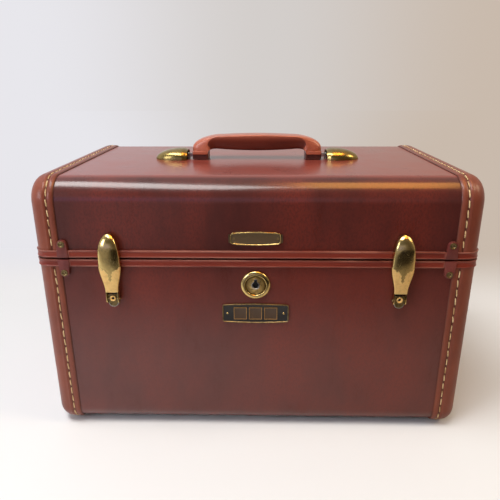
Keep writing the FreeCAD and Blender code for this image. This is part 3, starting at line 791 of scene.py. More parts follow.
@dataclass(frozen=True)
class Enamel(Finish):
    """Dark stoved paint, thin and rubbed in places down to the metal."""

    tone: Rgb
    worn: Rgb
    worn_share: float = 0.25
    gloss: float = 0.42
    speck: float = 0.8 * MM
    speck_depth: float = 0.05 * MM
    cloud: float = 6 * MM

    def make(self, graph: Graph) -> bpy.types.Material:
        """Speckles the paint and shows metal in the specks.

        Args:
            graph: the graph to build in.

        Returns:
            The finished material.
        """
        specks = graph.noise(self.speck, 5, 0.7)
        clouds = graph.noise(self.cloud, 4, 0.6)
        bare = graph.rise(specks + 0.4 * (clouds - 0.5), 0.6, 0.74) * self.worn_share
        colour = graph.blend(bare, linear(self.tone), linear(self.worn))
        relief = graph.bump(specks, self.speck_depth, 0.7)
        return graph.dress(Base_Color=colour, Roughness=self.gloss + 0.2 * (clouds - 0.5), Metallic=bare,
                           Normal=relief)


@dataclass(frozen=True)
class Thread(Finish):
    """Waxed sewing thread with its twist."""

    tone: Rgb
    soiled: Rgb
    twist: float = 0.45 * MM
    twist_depth: float = 0.12 * MM
    stain: float = 9 * MM

    def make(self, graph: Graph) -> bpy.types.Material:
        """Twists the strands and soils them here and there.

        Args:
            graph: the graph to build in.

        Returns:
            The finished material.
        """
        twist = graph.noise(self.twist, 2, 0.5, (1, 1, 1.6))
        dirt = graph.noise(self.stain, 4, 0.65)
        soiling = graph.rise(dirt + 0.5 * (twist - 0.5), 0.42, 0.68)
        colour = graph.blend(soiling, linear(self.tone), linear(self.soiled))
        relief = graph.bump(twist, self.twist_depth)
        return graph.dress(Base_Color=colour, Roughness=0.62 + 0.2 * (twist - 0.5), Normal=relief)


@dataclass(frozen=True)
class Silvered(Finish):
    """Mirror glass with a few dust specks."""

    tone: Rgb
    dust_tone: Rgb = (150, 148, 145)
    dust: float = 1.4 * MM
    fog: float = 40 * MM

    def make(self, graph: Graph) -> bpy.types.Material:
        """Makes a clear reflection that dust dulls in places.

        Args:
            graph: the graph to build in.

        Returns:
            The finished material.
        """
        dust = graph.rise(graph.noise(self.dust, 4, 0.7), 0.62, 0.8)
        fog = graph.noise(self.fog, 3)
        colour = graph.blend(dust * 0.25, linear(self.tone), linear(self.dust_tone))
        return graph.dress(Base_Color=colour, Metallic=1.0, Roughness=0.015 + 0.05 * dust + 0.02 * fog)


COVER = Hide("oxblood_cover", (108, 47, 39), (93, 42, 36), (122, 46, 34), patch=26 * MM,
             streak=(1.0, 1.0, 0.42), warm_share=0.6, grain=0.7 * MM, grain_depth=0.03 * MM, gloss=0.3,
             coat=0.7, coat_gloss=0.17, shine=0.2, speck_share=0.6)
END_LEATHER = SeamHide("end_leather", (132, 66, 46), (118, 57, 41), (148, 78, 53), patch=18 * MM,
                       warm_share=0.45, grain=0.8 * MM, grain_depth=0.035 * MM, gloss=0.4, coat=0.15,
                       shine=0.3, scuff=(190, 130, 100), scuff_share=0.18)
MOULDING = Hide("moulding_leather", (130, 46, 30), (108, 38, 27), (142, 56, 37), patch=9 * MM,
                streak=(0.12, 1, 1), grain=0.5 * MM, grain_depth=0.03 * MM, gloss=0.36, coat=0.1, shine=0.3)
# Beads painted paler than the moulding: partly rubbed wear, partly a painted highlight on their rounded edges
LIT_RUBBED_BEAD = Hide("rubbed_bead", (142, 74, 58), (116, 50, 38), (164, 106, 88), patch=6 * MM, streak=(0.3, 1, 1),
            grain=0.5 * MM, grain_depth=0.03 * MM, gloss=0.4)
STRAP = Hide("strap_leather", (114, 46, 39), (94, 38, 33), (126, 58, 48), patch=7 * MM, grain=0.6 * MM,
             grain_depth=0.05 * MM, gloss=0.46, scuff=(160, 110, 96), scuff_share=0.3)
GRIP = Hide("grip_leather", (188, 100, 71), (162, 80, 56), (202, 116, 86), patch=14 * MM, streak=(0.5, 1, 1),
            grain=0.6 * MM, grain_depth=0.03 * MM, gloss=0.36, coat=0.25, scuff=(212, 150, 122),
            scuff_share=0.15)
# Painted shade: a darker copy of the grip leather for the belly under the bow, graded lighter towards its top
# as painted light
SHADED_BELLY = Hide("grip_belly", (112, 50, 36), (92, 40, 30), (124, 58, 42), patch=14 * MM, streak=(0.5, 1, 1),
             grain=0.6 * MM, grain_depth=0.03 * MM, gloss=0.4, coat=0.2, faded=(190, 100, 72),
             fade_from=220.5 * MM, fade_to=230 * MM)
TONGUE = Hide("tongue_board", (70, 40, 34), (54, 30, 26), (84, 50, 42), grain=0.6 * MM, gloss=0.55)
TRAY = Hide("tray_cover", (150, 112, 92), (132, 94, 76), (164, 126, 104), patch=20 * MM, grain=0.8 * MM,
            gloss=0.55)
BRASS = Brass("polished_brass", (214, 186, 120), (124, 110, 74), 0.5, gloss=0.15)
HOOD = Brass("hood_brass", (160, 138, 82), (86, 75, 47), 0.6, gloss=0.19)
PLUG = Brass("plug_brass", (182, 152, 92), (100, 88, 56), 0.8, cloud=2.2 * MM, gloss=0.34, metallic=0.9)
GILT = Brass("dull_gilt", (172, 132, 76), (112, 86, 50), 0.5, cloud=2 * MM, gloss=0.42, metallic=0.7)
SATIN = Brass("worn_brass", (252, 212, 136), (206, 164, 96), 0.4, cloud=3 * MM, gloss=0.5,
              scratch_depth=0.03 * MM, metallic=0.7)
AGED = Brass("antique_brass", (142, 122, 82), (66, 58, 42), 0.75, cloud=2.5 * MM, gloss=0.36)
STEEL = Brass("nickel_steel", (176, 172, 162), (110, 104, 92), 0.35, gloss=0.24)
FERRULE = Brass("dark_ferrule", (104, 54, 41), (56, 30, 24), 0.7, cloud=3 * MM, gloss=0.34, metallic=0.3)
PLATE = Enamel("black_enamel", (36, 34, 33), (150, 120, 72))
TILE = Enamel("tile_enamel", (76, 56, 38), (190, 150, 90), 0.45)
# Painted shade: near-black paint in shallow hollows, standing for the shade inside the keyhole and the
# eyelet's hole
HOLE_SHADE = Enamel("socket_black", (10, 9, 8), (40, 34, 26), 0.1)
FIELD = Enamel("badge_field", (86, 66, 40), (172, 138, 82), 0.9, gloss=0.42)
LINING = Weave("rose_lining", (178, 136, 118), (150, 106, 90))
MIRROR = Silvered("mirror_glass", (226, 230, 230))
THREAD = Thread("cream_thread", (230, 200, 150), (176, 134, 86))

SLOT_FINISH: dict[str, Finish] = {
    "cover": COVER, "end_leather": END_LEATHER, "moulding": MOULDING, "strap_leather": STRAP,
    "grip_leather": GRIP, "ferrule": FERRULE, "aged_brass": AGED, "brass": BRASS, "steel": STEEL,
    "plate": PLATE, "tile": TILE, "lining": LINING, "tongue": TONGUE, "mirror": MIRROR, "tray": TRAY,
}
NODE_FINISH: dict[str, Finish] = {
    "handle_cross_pins": FERRULE, "latch_keepers": SATIN, "tray_ledges": LINING, "hinge_base_rivets": SATIN,
    "hinge_lid_rivets": SATIN,
}


@dataclass
class Covering:
    """Front, back and long faces of the case under one covering, open at the ends."""

    wall: float = 5.0 * MM
    top_radius: float = 18.0 * MM
    bottom_radius: float = 14.0 * MM
    rim_drop: float = 0.1 * MM
    # Painted shade: the two lid tones darken the lid's copy of the cover. Painted light: the top tone
    # lightens its topmost part, down to the depth below
    lid_tone: Rgb = (90, 38, 32)
    lid_deep: Rgb = (74, 33, 29)
    top_tone: Rgb = (142, 64, 52)
    top_coat: float = 0.5
    fade_depth: float = 1.6 * MM
    steps: int = 18

    def build(self) -> None:
        """Makes the base's and the lid's covering."""
        self.shell(Half.BASE, self.bottom_radius)
        self.shell(Half.LID, self.top_radius)

    def shell(self, half: Half, radius: float) -> None:
        """Rounds a block's long outer edges and hollows it from the rim.

        Args:
            half: base or lid.
            radius: radius of the long edges.
        """
        low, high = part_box(half.word + "_wrap")
        if half is Half.LID:
            low.z += self.rim_drop
        else:
            high.z -= self.rim_drop
        outer = high.z if half is Half.LID else low.z
        # Painted shade and light: the lid is a darker copy of the cover, and its top is painted lighter
        worn = replace(COVER, name="oxblood_lid", tone=self.lid_tone, deep=self.lid_deep, faded=self.top_tone,
                       faded_coat=self.top_coat, fade_from=high.z - self.fade_depth, fade_to=high.z)
        model = Model.block("covering_" + half.word, worn if half is Half.LID else COVER, low, high)
        model.pick(Kind.EDGE, lambda at, run: abs(run.x) > FACING and abs(at.z - outer) < TINY)
        model.bevel(radius, self.steps)
        model.pick(Kind.FACE, lambda at, out: abs(out.x) > FACING or out.z * half.value < -FACING)
        model.drop().thicken(self.wall)
        model.done(half.word, "cover", half.word + "_wrap")


@dataclass
class EndPans:
    """Leather pans over the ends, with a seam groove and a turned inner edge."""

    top_radius: float = 19.2 * MM
    bottom_radius: float = 15.2 * MM
    end_round: float = 11.0 * MM
    wall: float = 4.0 * MM
    seam_inset: float = 14.0 * MM
    groove_half: float = 0.45 * MM
    groove_side: float = 1.1 * MM
    groove_depth: float = 0.55 * MM
    roll: float = 0.22 * MM
    roll_reach: float = 2.6 * MM
    turned: float = 0.8 * MM
    turned_width: float = 0.7 * MM
    steps: int = 14

    def build(self) -> None:
        """Makes the four pans."""
        for side in Side:
            for half in Half:
                self.pan(side, half)

    def pan(self, side: Side, half: Half) -> None:
        """Rounds a block to the whole end, works its flange and keeps one half of it.

        Args:
            side: left or right.
            half: base or lid.
        """
        node = f"{half.word}_end_{side.word}"
        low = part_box("base_end_" + side.word)[0]
        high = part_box("lid_end_" + side.word)[1]
        end, inner = (high.x, low.x) if side is Side.RIGHT else (low.x, high.x)
        model = Model.block(f"end_pan_{half.word}_{side.word}", END_LEATHER, low, high)
        for z, radius in ((high.z, self.top_radius), (low.z, self.bottom_radius)):
            model.pick(Kind.EDGE, lambda at, run: abs(run.x) > FACING and abs(at.z - z) < TINY)
            model.bevel(radius, self.steps)
        model.pick(Kind.FACE, lambda at, out: abs(out.x) > FACING and abs(at.x - inner) < TINY)
        model.drop()
        model.pick(Kind.EDGE, lambda at, run: abs(at.x - end) < TINY)
        model.bevel(self.end_round, 10)
        self.flange(model, side, end - side.value * self.seam_inset, inner)
        model.cut(Vector((0, 0, half.rim)), Vector((0, 0, -half.value)), drop=True)
        model.thicken(self.wall)
        model.done(half.word, "end_leather", node)

    def flange(self, model: Model, side: Side, seam: float, inner: float) -> None:
        """Sinks the seam groove between two soft rolls and turns the inner edge down.

        Args:
            model: the pan.
            side: left or right.
            seam: X of the seam.
            inner: X of the inner edge.
        """
        edges = [-self.roll_reach, -self.groove_side, -self.groove_half,
                 self.groove_half, self.groove_side, self.roll_reach]
        fold = inner + side.value * self.turned_width
        for x in [seam + e for e in edges] + [fold]:
            model.cut(Vector((x, 0, 0)), Vector((1, 0, 0)))
        for x, reach, amount in ((seam, self.groove_half + TINY, -self.groove_depth),
                                 (seam - self.roll_reach, TINY, self.roll),
                                 (seam + self.roll_reach, TINY, self.roll),
                                 (inner, TINY, -self.turned),
                                 (fold, TINY, -self.turned * 0.2)):
            model.pick(Kind.CORNER, lambda at, out: abs(at.x - x) < reach)
            model.swell(amount)


@dataclass
class Seams:
    """Rows of hand-like stitches in the grooves of the end pans."""

    seam_x: float = 150.0 * MM
    pitch: float = 7.4 * MM
    length: float = 6.3 * MM
    half_width: float = 0.48 * MM
    half_height: float = 0.45 * MM
    dip: float = 0.55 * MM
    sink: float = 0.12 * MM
    slant: float = 3.0
    wander: float = 4.0
    rim_gap: float = 9.5 * MM
    around: int = 7
    along: int = 7

    def build(self) -> None:
        """Sews the four rows."""
        for side in Side:
            for half in Half:
                self.row(side, half)

    def stitch(self) -> bpy.types.Object:
        """One stitch along X: a thin tube with pointed ends that dip into the leather.

        Returns:
            The stitch.
        """
        def place(turn: float, run: float) -> Vector:
            """Point on the tube's skin.

            Args:
                turn: how far round, 0 to 1.
                run: how far along, 0 to 1.

            Returns:
                The point.
            """
            far = 2 * run - 1
            fat = math.sqrt(max(1 - far ** 6, 0.0))
            angle = 2 * math.pi * turn
            return Vector((far * self.length / 2, fat * self.half_width * math.cos(angle),
                           fat * self.half_height * math.sin(angle) - self.dip * far ** 4))
        return Model.surface("stitch", THREAD, self.around, self.along, place).leave()

    def row(self, side: Side, half: Half) -> None:
        """Lays one half's stitches down the front, round the corners and up the back.

        Args:
            side: left or right.
            half: base or lid.
        """
        low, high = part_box(f"{half.word}_end_{side.word}")
        radius = EndPans.top_radius if half is Half.LID else EndPans.bottom_radius
        path = Outline(low.y, high.y, half.rim, high.z if half is Half.LID else low.z, radius)
        chance = random.Random(f"{side.word} {half.word}")
        count = int((path.length - 2 * self.rim_gap) / self.pitch)
        start = (path.length - count * self.pitch) / 2
        moves = []
        for i in range(count + 1):
            spot, out, heading = path.at(start + i * self.pitch + chance.uniform(-0.3, 0.3) * MM)
            spot.x = side.value * self.seam_x + chance.uniform(-0.15, 0.15) * MM
            across = out.cross(heading)
            frame_of = Matrix((heading, across, out)).transposed().to_4x4()
            turn = Matrix.Rotation(math.radians(self.slant + chance.uniform(-1, 1) * self.wander), 4, "Z")
            grow = Matrix.Diagonal((chance.uniform(0.9, 1.04), chance.uniform(0.9, 1.12), 1, 1))
            moves.append(Matrix.Translation(spot - out * self.sink) @ frame_of @ turn @ grow)
        made = copies(self.stitch(), f"stitches_{half.word}_{side.word}", moves)
        hand_over(made, half.word, "end_leather")


@dataclass
class Outline:
    """End outline of one half in the YZ plane, from the front rim round to the back rim."""

    front: float
    back: float
    rim: float
    outer: float
    radius: float

    @property
    def way(self) -> float:
        """1 where the outline goes up from the rim, -1 where it goes down."""
        return math.copysign(1.0, self.outer - self.rim)

    @property
    def upright(self) -> float:
        """Length of the straight run at the front or back."""
        return abs(self.outer - self.rim) - self.radius

    @property
    def level(self) -> float:
        """Length of the straight run between the two corners."""
        return self.back - self.front - 2 * self.radius

    @property
    def length(self) -> float:
        """Length of the whole outline."""
        return 2 * self.upright + self.level + math.pi * self.radius

    def at(self, run: float) -> tuple[Vector, Vector, Vector]:
        """Finds a place on the outline.

        Args:
            run: distance from the front rim.

        Returns:
            The point, the way out of the surface and the way along it.
        """
        quarter = math.pi * self.radius / 2
        bend = min(max(run - self.upright, 0.0), quarter)
        bend += min(max(run - self.upright - quarter - self.level, 0.0), quarter)
        angle = bend / self.radius
        out = Vector((0, -math.cos(angle), self.way * math.sin(angle)))
        heading = Vector((0, math.sin(angle), self.way * math.cos(angle)))
        turn_y = self.front + self.radius if angle < math.pi / 4 else self.back - self.radius
        middle = Vector((0, turn_y, self.outer - self.way * self.radius))
        spot = middle + out * self.radius
        if run < self.upright:
            spot.z = self.rim + self.way * run
        elif self.upright + quarter < run < self.upright + quarter + self.level:
            spot.y = self.front + self.radius + run - self.upright - quarter
        elif run > self.length - self.upright:
            spot.z = self.rim + self.way * (self.length - run)
        elif run <= self.upright + quarter:
            spot.y = self.front + self.radius + out.y * self.radius
        return spot, out, heading


@dataclass
class PartingTrim:
    """Mouldings, end straps, tabs and rivets on both sides of the parting line."""

    bead: float = 0.85 * MM
    recess: float = 0.35 * MM
    soft: float = 0.25 * MM
    strap_thickness: float = 1.0 * MM
    strap_corner: float = 12.0 * MM
    tab_width: float = 8.6 * MM
    tab_taper: float = 0.24
    tab_rise: float = 0.55 * MM
    tab_short: float = 1.2 * MM
    rivet_height: float = 1.5 * MM
    rivet_recess: float = 0.45 * MM
    hinge_x: float = 95.0 * MM
    notch_half: float = 20.6 * MM

    def build(self) -> None:
        """Makes the trim of both halves."""
        for half in Half:
            low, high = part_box(half.word + "_trim_front")
            self.strip(f"moulding_{half.word}_front", half, low, high, -1, half.word + "_trim_front")
            low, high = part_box(half.word + "_trim_back")
            cuts = [low.x, -self.hinge_x - self.notch_half, self.notch_half - self.hinge_x,
                    self.hinge_x - self.notch_half, self.hinge_x + self.notch_half, high.x]
            for i in range(0, len(cuts), 2):
                start, end = low.copy(), high.copy()
                start.x, end.x = cuts[i], cuts[i + 1]
                name = f"moulding_{half.word}_back_{i // 2 + 1}"
                self.strip(name, half, start, end, 1, half.word + "_trim_back")
            for side in Side:
                self.strap(side, half)
                self.rivets(side, half)

    def strip(self, name: str, half: Half, low: Vector, high: Vector, way: int, node: str) -> None:
        """A straight moulding with a bead along each edge, painted paler: partly rubbed wear, partly a
        painted highlight.

        Args:
            name: the piece's name.
            half: the half that it trims.
            low: its lowest corner.
            high: its highest corner.
            way: -1 at the front, 1 at the back.
            node: the node that it stands for.
        """
        model = Model.block(name, LIT_RUBBED_BEAD, low, high)
        model.pick(Kind.FACE, lambda at, out: out.y * way > FACING)
        model.inset(self.bead).paint(MOULDING)
        model.inset(self.soft, -self.recess)
        model.soften(self.soft, 3)
        model.done(half.word, "moulding", node)

    def strap(self, side: Side, half: Half) -> None:
        """A band round the end and the two tabs that hold it.

        Args:
            side: left or right.
            half: base or lid.
        """
        node = f"{half.word}_strap_{side.word}"
        low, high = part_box(node)
        moulding_low, moulding_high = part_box(half.word + "_trim_front")
        band_low = Vector((low.x, low.y, moulding_low.z))
        band_high = Vector((high.x, high.y, moulding_high.z))
        end, inner = (high.x, low.x) if side is Side.RIGHT else (low.x, high.x)
        # The band's edges take the bead finish: partly rubbed wear, partly a painted highlight
        model = Model.block(f"strap_{half.word}_{side.word}", LIT_RUBBED_BEAD, band_low, band_high)
        model.pick(Kind.EDGE, lambda at, run: abs(run.z) > FACING and abs(at.x - end) < TINY)
        model.bevel(self.strap_corner, 10)
        model.pick(Kind.FACE, lambda at, out: abs(out.z) > FACING or abs(at.x - inner) < TINY)
        model.drop().thicken(self.strap_thickness)
        middle = Vector((inner, (low.y + high.y) / 2, 0))
        model.pick(Kind.FACE, lambda at, out: abs(out.z) < 0.5 and out.dot(at - middle) > 0)
        model.inset(self.bead).paint(MOULDING)
        model.inset(self.soft, -self.recess)
        model.soften(self.soft, 2)
        model.done(half.word, "strap_leather", node)
        for way, face in ((-1, low.y), (1, high.y)):
            self.tab(side, half, way, face, node)

    def tab(self, side: Side, half: Half, way: int, face: float, node: str) -> None:
        """A round-ended tab over the strap's end, standing a little proud of it.

        Args:
            side: left or right.
            half: base or lid.
            way: -1 at the front, 1 at the back.
            face: Y of the strap's face.
            node: the CAD node that it stands for.
        """
        low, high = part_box(node)
        inner = low.x if side is Side.RIGHT else high.x
        far_x = inner + side.value * self.tab_width
        top = face + way * self.tab_rise
        back = face - way * 2 * self.strap_thickness
        ends = sorted((inner, far_x)), sorted((top, back))
        model = Model.block(f"tab_{half.word}_{side.word}_{'front' if way < 0 else 'back'}", STRAP,
                            Vector((ends[0][0], ends[1][0], low.z)), Vector((ends[0][1], ends[1][1], high.z)))
        tip = high.z - self.tab_short if half is Half.LID else low.z + self.tab_short
        root = low.z if half is Half.LID else high.z
        middle = (inner + far_x) / 2

        def taper(at: Vector, way: Vector) -> Vector:
            """Narrows the tab towards its tip and draws the tip in to the rivet.

            Args:
                at: a corner.
                way: its normal, which plays no part.

            Returns:
                Its new place.
            """
            share = (at.z - root) / (high.z - low.z) * half.value
            return Vector((middle + (at.x - middle) * (1 - self.tab_taper * share), at.y,
                           root + (tip - root) * share))
        model.reshape(taper)
        model.pick(Kind.EDGE, lambda at, run: abs(run.y) > FACING and abs(at.z - tip) < TINY)
        model.bevel(self.tab_width * 0.48 * (1 - self.tab_taper), 10)
        model.soften(self.soft, 2)
        model.done(half.word, "strap_leather", node)

    def rivets(self, side: Side, half: Half) -> None:
        """Two ringed rivets, on the front and back tab.

        Args:
            side: left or right.
            half: base or lid.
        """
        node = f"{half.word}_tab_rivets_{side.word}"
        low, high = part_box(node)
        radius = (high.x - low.x) / 2
        for way, face, word in ((-1, low.y, "front"), (1, high.y, "back")):
            top = Vector(((low.x + high.x) / 2, face, (low.z + high.z) / 2))
            height = self.rivet_height
            out = Vector((0, way, 0))
            name = f"rivet_{half.word}_{side.word}_{word}"
            model = Model.drum(name, AGED, top - out * height, out, radius, height)
            model.pick(Kind.FACE, lambda at, normal: normal.y * way > FACING)
            model.inset(radius * 0.34).inset(radius * 0.14, -self.rivet_recess).inset(radius * 0.16, 0.0)
            model.inset(radius * 0.2, self.rivet_recess * 0.7)
            model.soften(self.soft, 2, 30)
            model.done(half.word, "aged_brass", node)


@dataclass
class Latches:
    """Hooded levers with their cheeks, claws, pivots and the rivets under them."""

    latch_x: float = 107.0 * MM
    pivot_out: float = 4.4 * MM
    pivot_z: float = 116.5 * MM
    mouth: float = 6.4 * MM
    top: float = 51.2 * MM
    widest: float = 27.0 * MM
    narrow_from: float = 7.0 * MM
    mouth_half: float = 4.75 * MM
    wide_half: float = 8.1 * MM
    strip_out: float = 6.9 * MM
    dome_rise: float = 2.7 * MM
    dome_shoulder: float = 27.0 * MM
    dome_neck: float = 22.6 * MM
    dome_full: float = 34.0 * MM
    tail_low: float = 15.0 * MM
    tail_half: float = 1.7 * MM
    ragged: float = 0.35 * MM
    nose: float = 15.0 * MM
    edge_round: float = 0.6 * MM
    foot: float = 1.3 * MM
    foot_over_trim: float = 2.9 * MM
    trim_edges: tuple[float, float, float, float] = (21 * MM, 24 * MM, 38.5 * MM, 41.5 * MM)
    front_share: float = 0.72
    sheet: float = 0.8 * MM
    cheek_low: float = -3.2 * MM
    cheek_set: float = 0.1 * MM
    cheek_lap: float = 0.6 * MM
    cheek_round: float = 2.7 * MM
    claw_half: float = 3.2 * MM
    claw_back: float = 3.5 * MM
    claw_thick: float = 1.3 * MM
    claw_root: float = 5.0 * MM
    claw_soft: float = 0.25 * MM
    hook: float = 1.6 * MM
    hook_out: float = 0.7 * MM
    hook_over: float = 0.5 * MM
    rivet_radius: float = 2.3 * MM
    rivet_lift: float = 1.0 * MM
    rivet_height: float = 1.2 * MM
    rivet_hollow: float = 1.0 * MM
    plate_half: float = 3.85 * MM
    plate_thick: float = 5.0 * MM
    plate_lift: float = 1.8 * MM
    plate_over: float = 4.0 * MM
    plate_band: float = 0.35 * MM
    rubbed_rim: float = 1.2 * MM
    stub_radius: float = 1.0 * MM
    stub_root: float = 1.0 * MM
    stub_out: float = 0.5 * MM
    stub_soft: float = 0.35 * MM
    tip_half: float = 0.02 * MM
    soft: float = 0.3 * MM
    sheet_soft: float = 0.2 * MM

    face: float = 0.0

    def build(self) -> None:
        """Makes both latches on the covering's front face."""
        self.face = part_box("base_wrap")[0].y
        for side in Side:
            self.lever(side)
            self.cheeks(side)
            self.claw(side)
            self.plate(side)
            self.stubs(side)
            self.rivet(side)

    def half_width(self, height: float) -> float:
        """Half the lever's width at a height over its pivot.

        Args:
            height: height over the pivot.

        Returns:
            Half the width.
        """
        if height < self.widest:
            wider = ease(height, self.narrow_from, self.widest)
            return self.mouth_half + (self.wide_half - self.mouth_half) * wider
        share = (height - self.widest) / (self.top - self.widest)
        return max(self.wide_half * math.sqrt(max(1 - share ** 2.9, 0.0)), self.tip_half)

    def front(self, x: float, height: float) -> float:
        """How far the lever's front stands out: a flat strip that a full-width dome grows out of."""
        past = max((height - self.top + self.nose) / self.nose, 0.0)
        return (self.strip_out + self.dome(x, height)) * math.sqrt(max(1 - 0.82 * past ** 2.4, 0.0))

    def dome_edge(self, x: float, height: float) -> float:
        """Height of the tarnished dome's ragged lower edge, lowest at the middle of the strip.

        Args:
            x: distance from the lever's middle.
            height: height over the pivot.

        Returns:
            The edge's height over the pivot.
        """
        share = min(abs(x) / self.half_width(height), 1.0)
        wave = math.sin(x * 2900) + math.sin(x * 1700 + 1)
        return self.dome_neck + (self.dome_shoulder - self.dome_neck) * share ** 1.4 + self.ragged * wave

    def dome(self, x: float, height: float) -> float:
        """How far the dome swells out of the strip."""
        across = max(1 - (abs(x) / self.half_width(height)) ** 2, 0.0) ** 0.6
        return self.dome_rise * (0.12 + 0.88 * ease(height, self.mouth, self.dome_full)) * across

    def lever(self, side: Side) -> None:
        """Bends a sheet over the dome, the strip and the side walls.

        Args:
            side: left or right.
        """
        middle = side.value * self.latch_x

        def place(across: float, along: float) -> Vector:
            """Point on the lever's skin.

            Args:
                across: how far across, 0 to 1.
                along: how far along, 0 to 1.

            Returns:
                The point.
            """
            over = (across - 0.5) * 2
            share = min(abs(over) / self.front_share, 1.0)
            height = self.mouth + (self.top - self.mouth) * math.sin(along * math.pi / 2) ** 0.85
            half = self.half_width(height)
            over_trim = ease(height, *self.trim_edges[:2]) * (1 - ease(height, *self.trim_edges[2:]))
            foot = self.foot + (self.foot_over_trim - self.foot) * over_trim
            wall = max(abs(over) - self.front_share, 0.0) / (1 - self.front_share)
            x = half * share * math.copysign(1, over)
            crest = self.front(x, height)
            past = max(abs(x) - half + self.edge_round, 0.0) / self.edge_round
            drop = self.edge_round * (1 - math.sqrt(max(1 - past ** 2, 0.0)))
            out = max(crest - min(drop, 0.6 * (crest - foot)), foot)
            out += (foot - out) * wall
            return Vector((middle + x, self.face - out, self.pivot_z + height))

        model = Model.surface("latch_hood_" + side.word, BRASS, 100, 104, place)
        model.pick(Kind.FACE, lambda at, way: self.on_strip(at, middle))
        model.paint(SATIN)
        model.thicken(self.sheet)
        model.done("latch_" + side.word, "brass", "latch_lever_" + side.word, angle=60)

    def on_strip(self, at: Vector, middle: float) -> bool:
        """Whether a point of the front lies on the worn strip below the dome.

        Args:
            at: the point.
            middle: X of the lever's middle.

        Returns:
            True on the strip.
        """
        x, height = at.x - middle, at.z - self.pivot_z
        on_front = self.face - at.y > self.front(x, height) - self.edge_round * 0.8
        reach = (height - self.tail_low) / (self.dome_neck - self.tail_low)
        tail = self.tail_half * reach ** 0.5 + self.ragged * math.sin(height * 2300) if reach > 0 else 0.0
        return on_front and height < self.dome_edge(x, height) and abs(x) > tail

    def cheeks(self, side: Side) -> None:
        """Two side plates that run on from the hood's walls down to its pivot.

        Args:
            side: left or right.
        """
        for way in (-1, 1):
            outer = side.value * self.latch_x + way * self.mouth_half
            ends = sorted((outer, outer - way * self.sheet))
            front = self.face - self.strip_out + self.cheek_set
            low = Vector((ends[0], front, self.pivot_z + self.cheek_low))
            high = Vector((ends[1], self.face - self.foot, self.pivot_z + self.mouth + self.cheek_lap))
            word = "inner" if way == -side.value else "outer"
            model = Model.block(f"latch_cheek_{side.word}_{word}", BRASS, low, high)
            model.pick(Kind.EDGE, lambda at, run: abs(run.x) > FACING and at.z < self.pivot_z)
            model.bevel(self.cheek_round, 8)
            model.soften(self.sheet_soft, 2)
            model.done("latch_" + side.word, "brass", "latch_lever_" + side.word)

    def claw(self, side: Side) -> None:
        """A hooked bar under the hood that draws the keeper down.

        Args:
            side: left or right.
        """
        low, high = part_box("latch_keepers")
        middle = side.value * self.latch_x
        back = self.face - self.claw_back
        tip = (low.z + high.z) / 2 + self.hook_over
        model = Model.block("latch_claw_" + side.word, STEEL,
                            Vector((middle - self.claw_half, back - self.claw_thick, low.z - self.claw_root)),
                            Vector((middle + self.claw_half, back, tip)))
        model.cut(Vector((0, 0, tip - self.hook)), Vector((0, 0, 1)))
        model.pick(Kind.FACE, lambda at, way: way.y > FACING and at.z > tip - self.hook)
        model.extrude(Vector((0, self.hook_out, 0)))
        model.soften(self.claw_soft, 2)
        model.done("latch_" + side.word, "steel", "latch_lever_" + side.word)

    def plate(self, side: Side) -> None:
        """A round-ended mount between the cheeks whose lower rim, painted pale steel as rubbed metal and as a
        painted highlight, shows below the hood.

        Args:
            side: left or right.
        """
        low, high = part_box("latch_plates")
        low.z += self.plate_lift
        high.z = self.pivot_z + self.plate_over
        middle = side.value * self.latch_x
        model = Model.block("latch_plate_" + side.word, AGED,
                            Vector((middle - self.plate_half, self.face - self.plate_thick, low.z)),
                            Vector((middle + self.plate_half, self.face, high.z)))
        model.pick(Kind.EDGE, lambda at, run: abs(run.y) > FACING and at.z < self.pivot_z)
        model.bevel(self.plate_half * 0.98, 12)
        model.pick(Kind.FACE, lambda at, way: way.y < -FACING)
        model.inset(self.soft).inset(self.plate_band)
        # The lower rim is painted steel: partly rubbed metal, partly a painted highlight on the rounded edge
        model.pick(Kind.FACE, lambda at, way: way.y > -0.5 or self.rubbed(at, middle, low.z))
        model.paint(STEEL)
        model.soften(self.soft, 3)
        model.done("base", "brass", "latch_plates")

    def rubbed(self, at: Vector, middle: float, low: float) -> bool:
        """Whether a point lies on the plate's lower rim, painted pale as rubbed metal and as a painted
        highlight.
        """
        far = math.hypot(at.x - middle, at.z - low - self.plate_half)
        return at.z < low + self.plate_half and far > self.plate_half - self.rubbed_rim

    def stubs(self, side: Side) -> None:
        """Two stubs on the mount that the hood turns on.

        Args:
            side: left or right.
        """
        for way in (-1, 1):
            middle = side.value * self.latch_x
            word = "inner" if way == -side.value else "outer"
            root = middle + way * (self.plate_half - self.stub_root)
            foot = Vector((root, self.face - self.pivot_out, self.pivot_z))
            length = self.mouth_half - self.plate_half + self.stub_root + self.stub_out
            stub = Model.drum(f"latch_stub_{side.word}_{word}", AGED, foot, Vector((way, 0, 0)),
                              self.stub_radius, length, 20)
            stub.soften(self.stub_soft, 3)
            stub.done("base", "steel", "latch_pins")

    def rivet(self, side: Side) -> None:
        """A hollow rivet that shows through the hood's open lower end.

        Args:
            side: left or right.
        """
        out = Vector((0, -1, 0))
        foot = Vector((side.value * self.latch_x, self.face - self.plate_thick,
                       self.pivot_z + self.rivet_lift))
        model = Model.drum("latch_eyelet_" + side.word, SATIN, foot, out, self.rivet_radius,
                           self.rivet_height)
        model.pick(Kind.FACE, lambda at, way: way.y < -FACING)
        # The shallow hollow is painted near black as painted shade
        model.inset(self.rivet_radius * 0.42).inset(self.rivet_radius * 0.1, -self.rivet_hollow).paint(HOLE_SHADE)
        model.soften(self.soft, 3, 40)
        model.done("base", "brass", "latch_rivets")


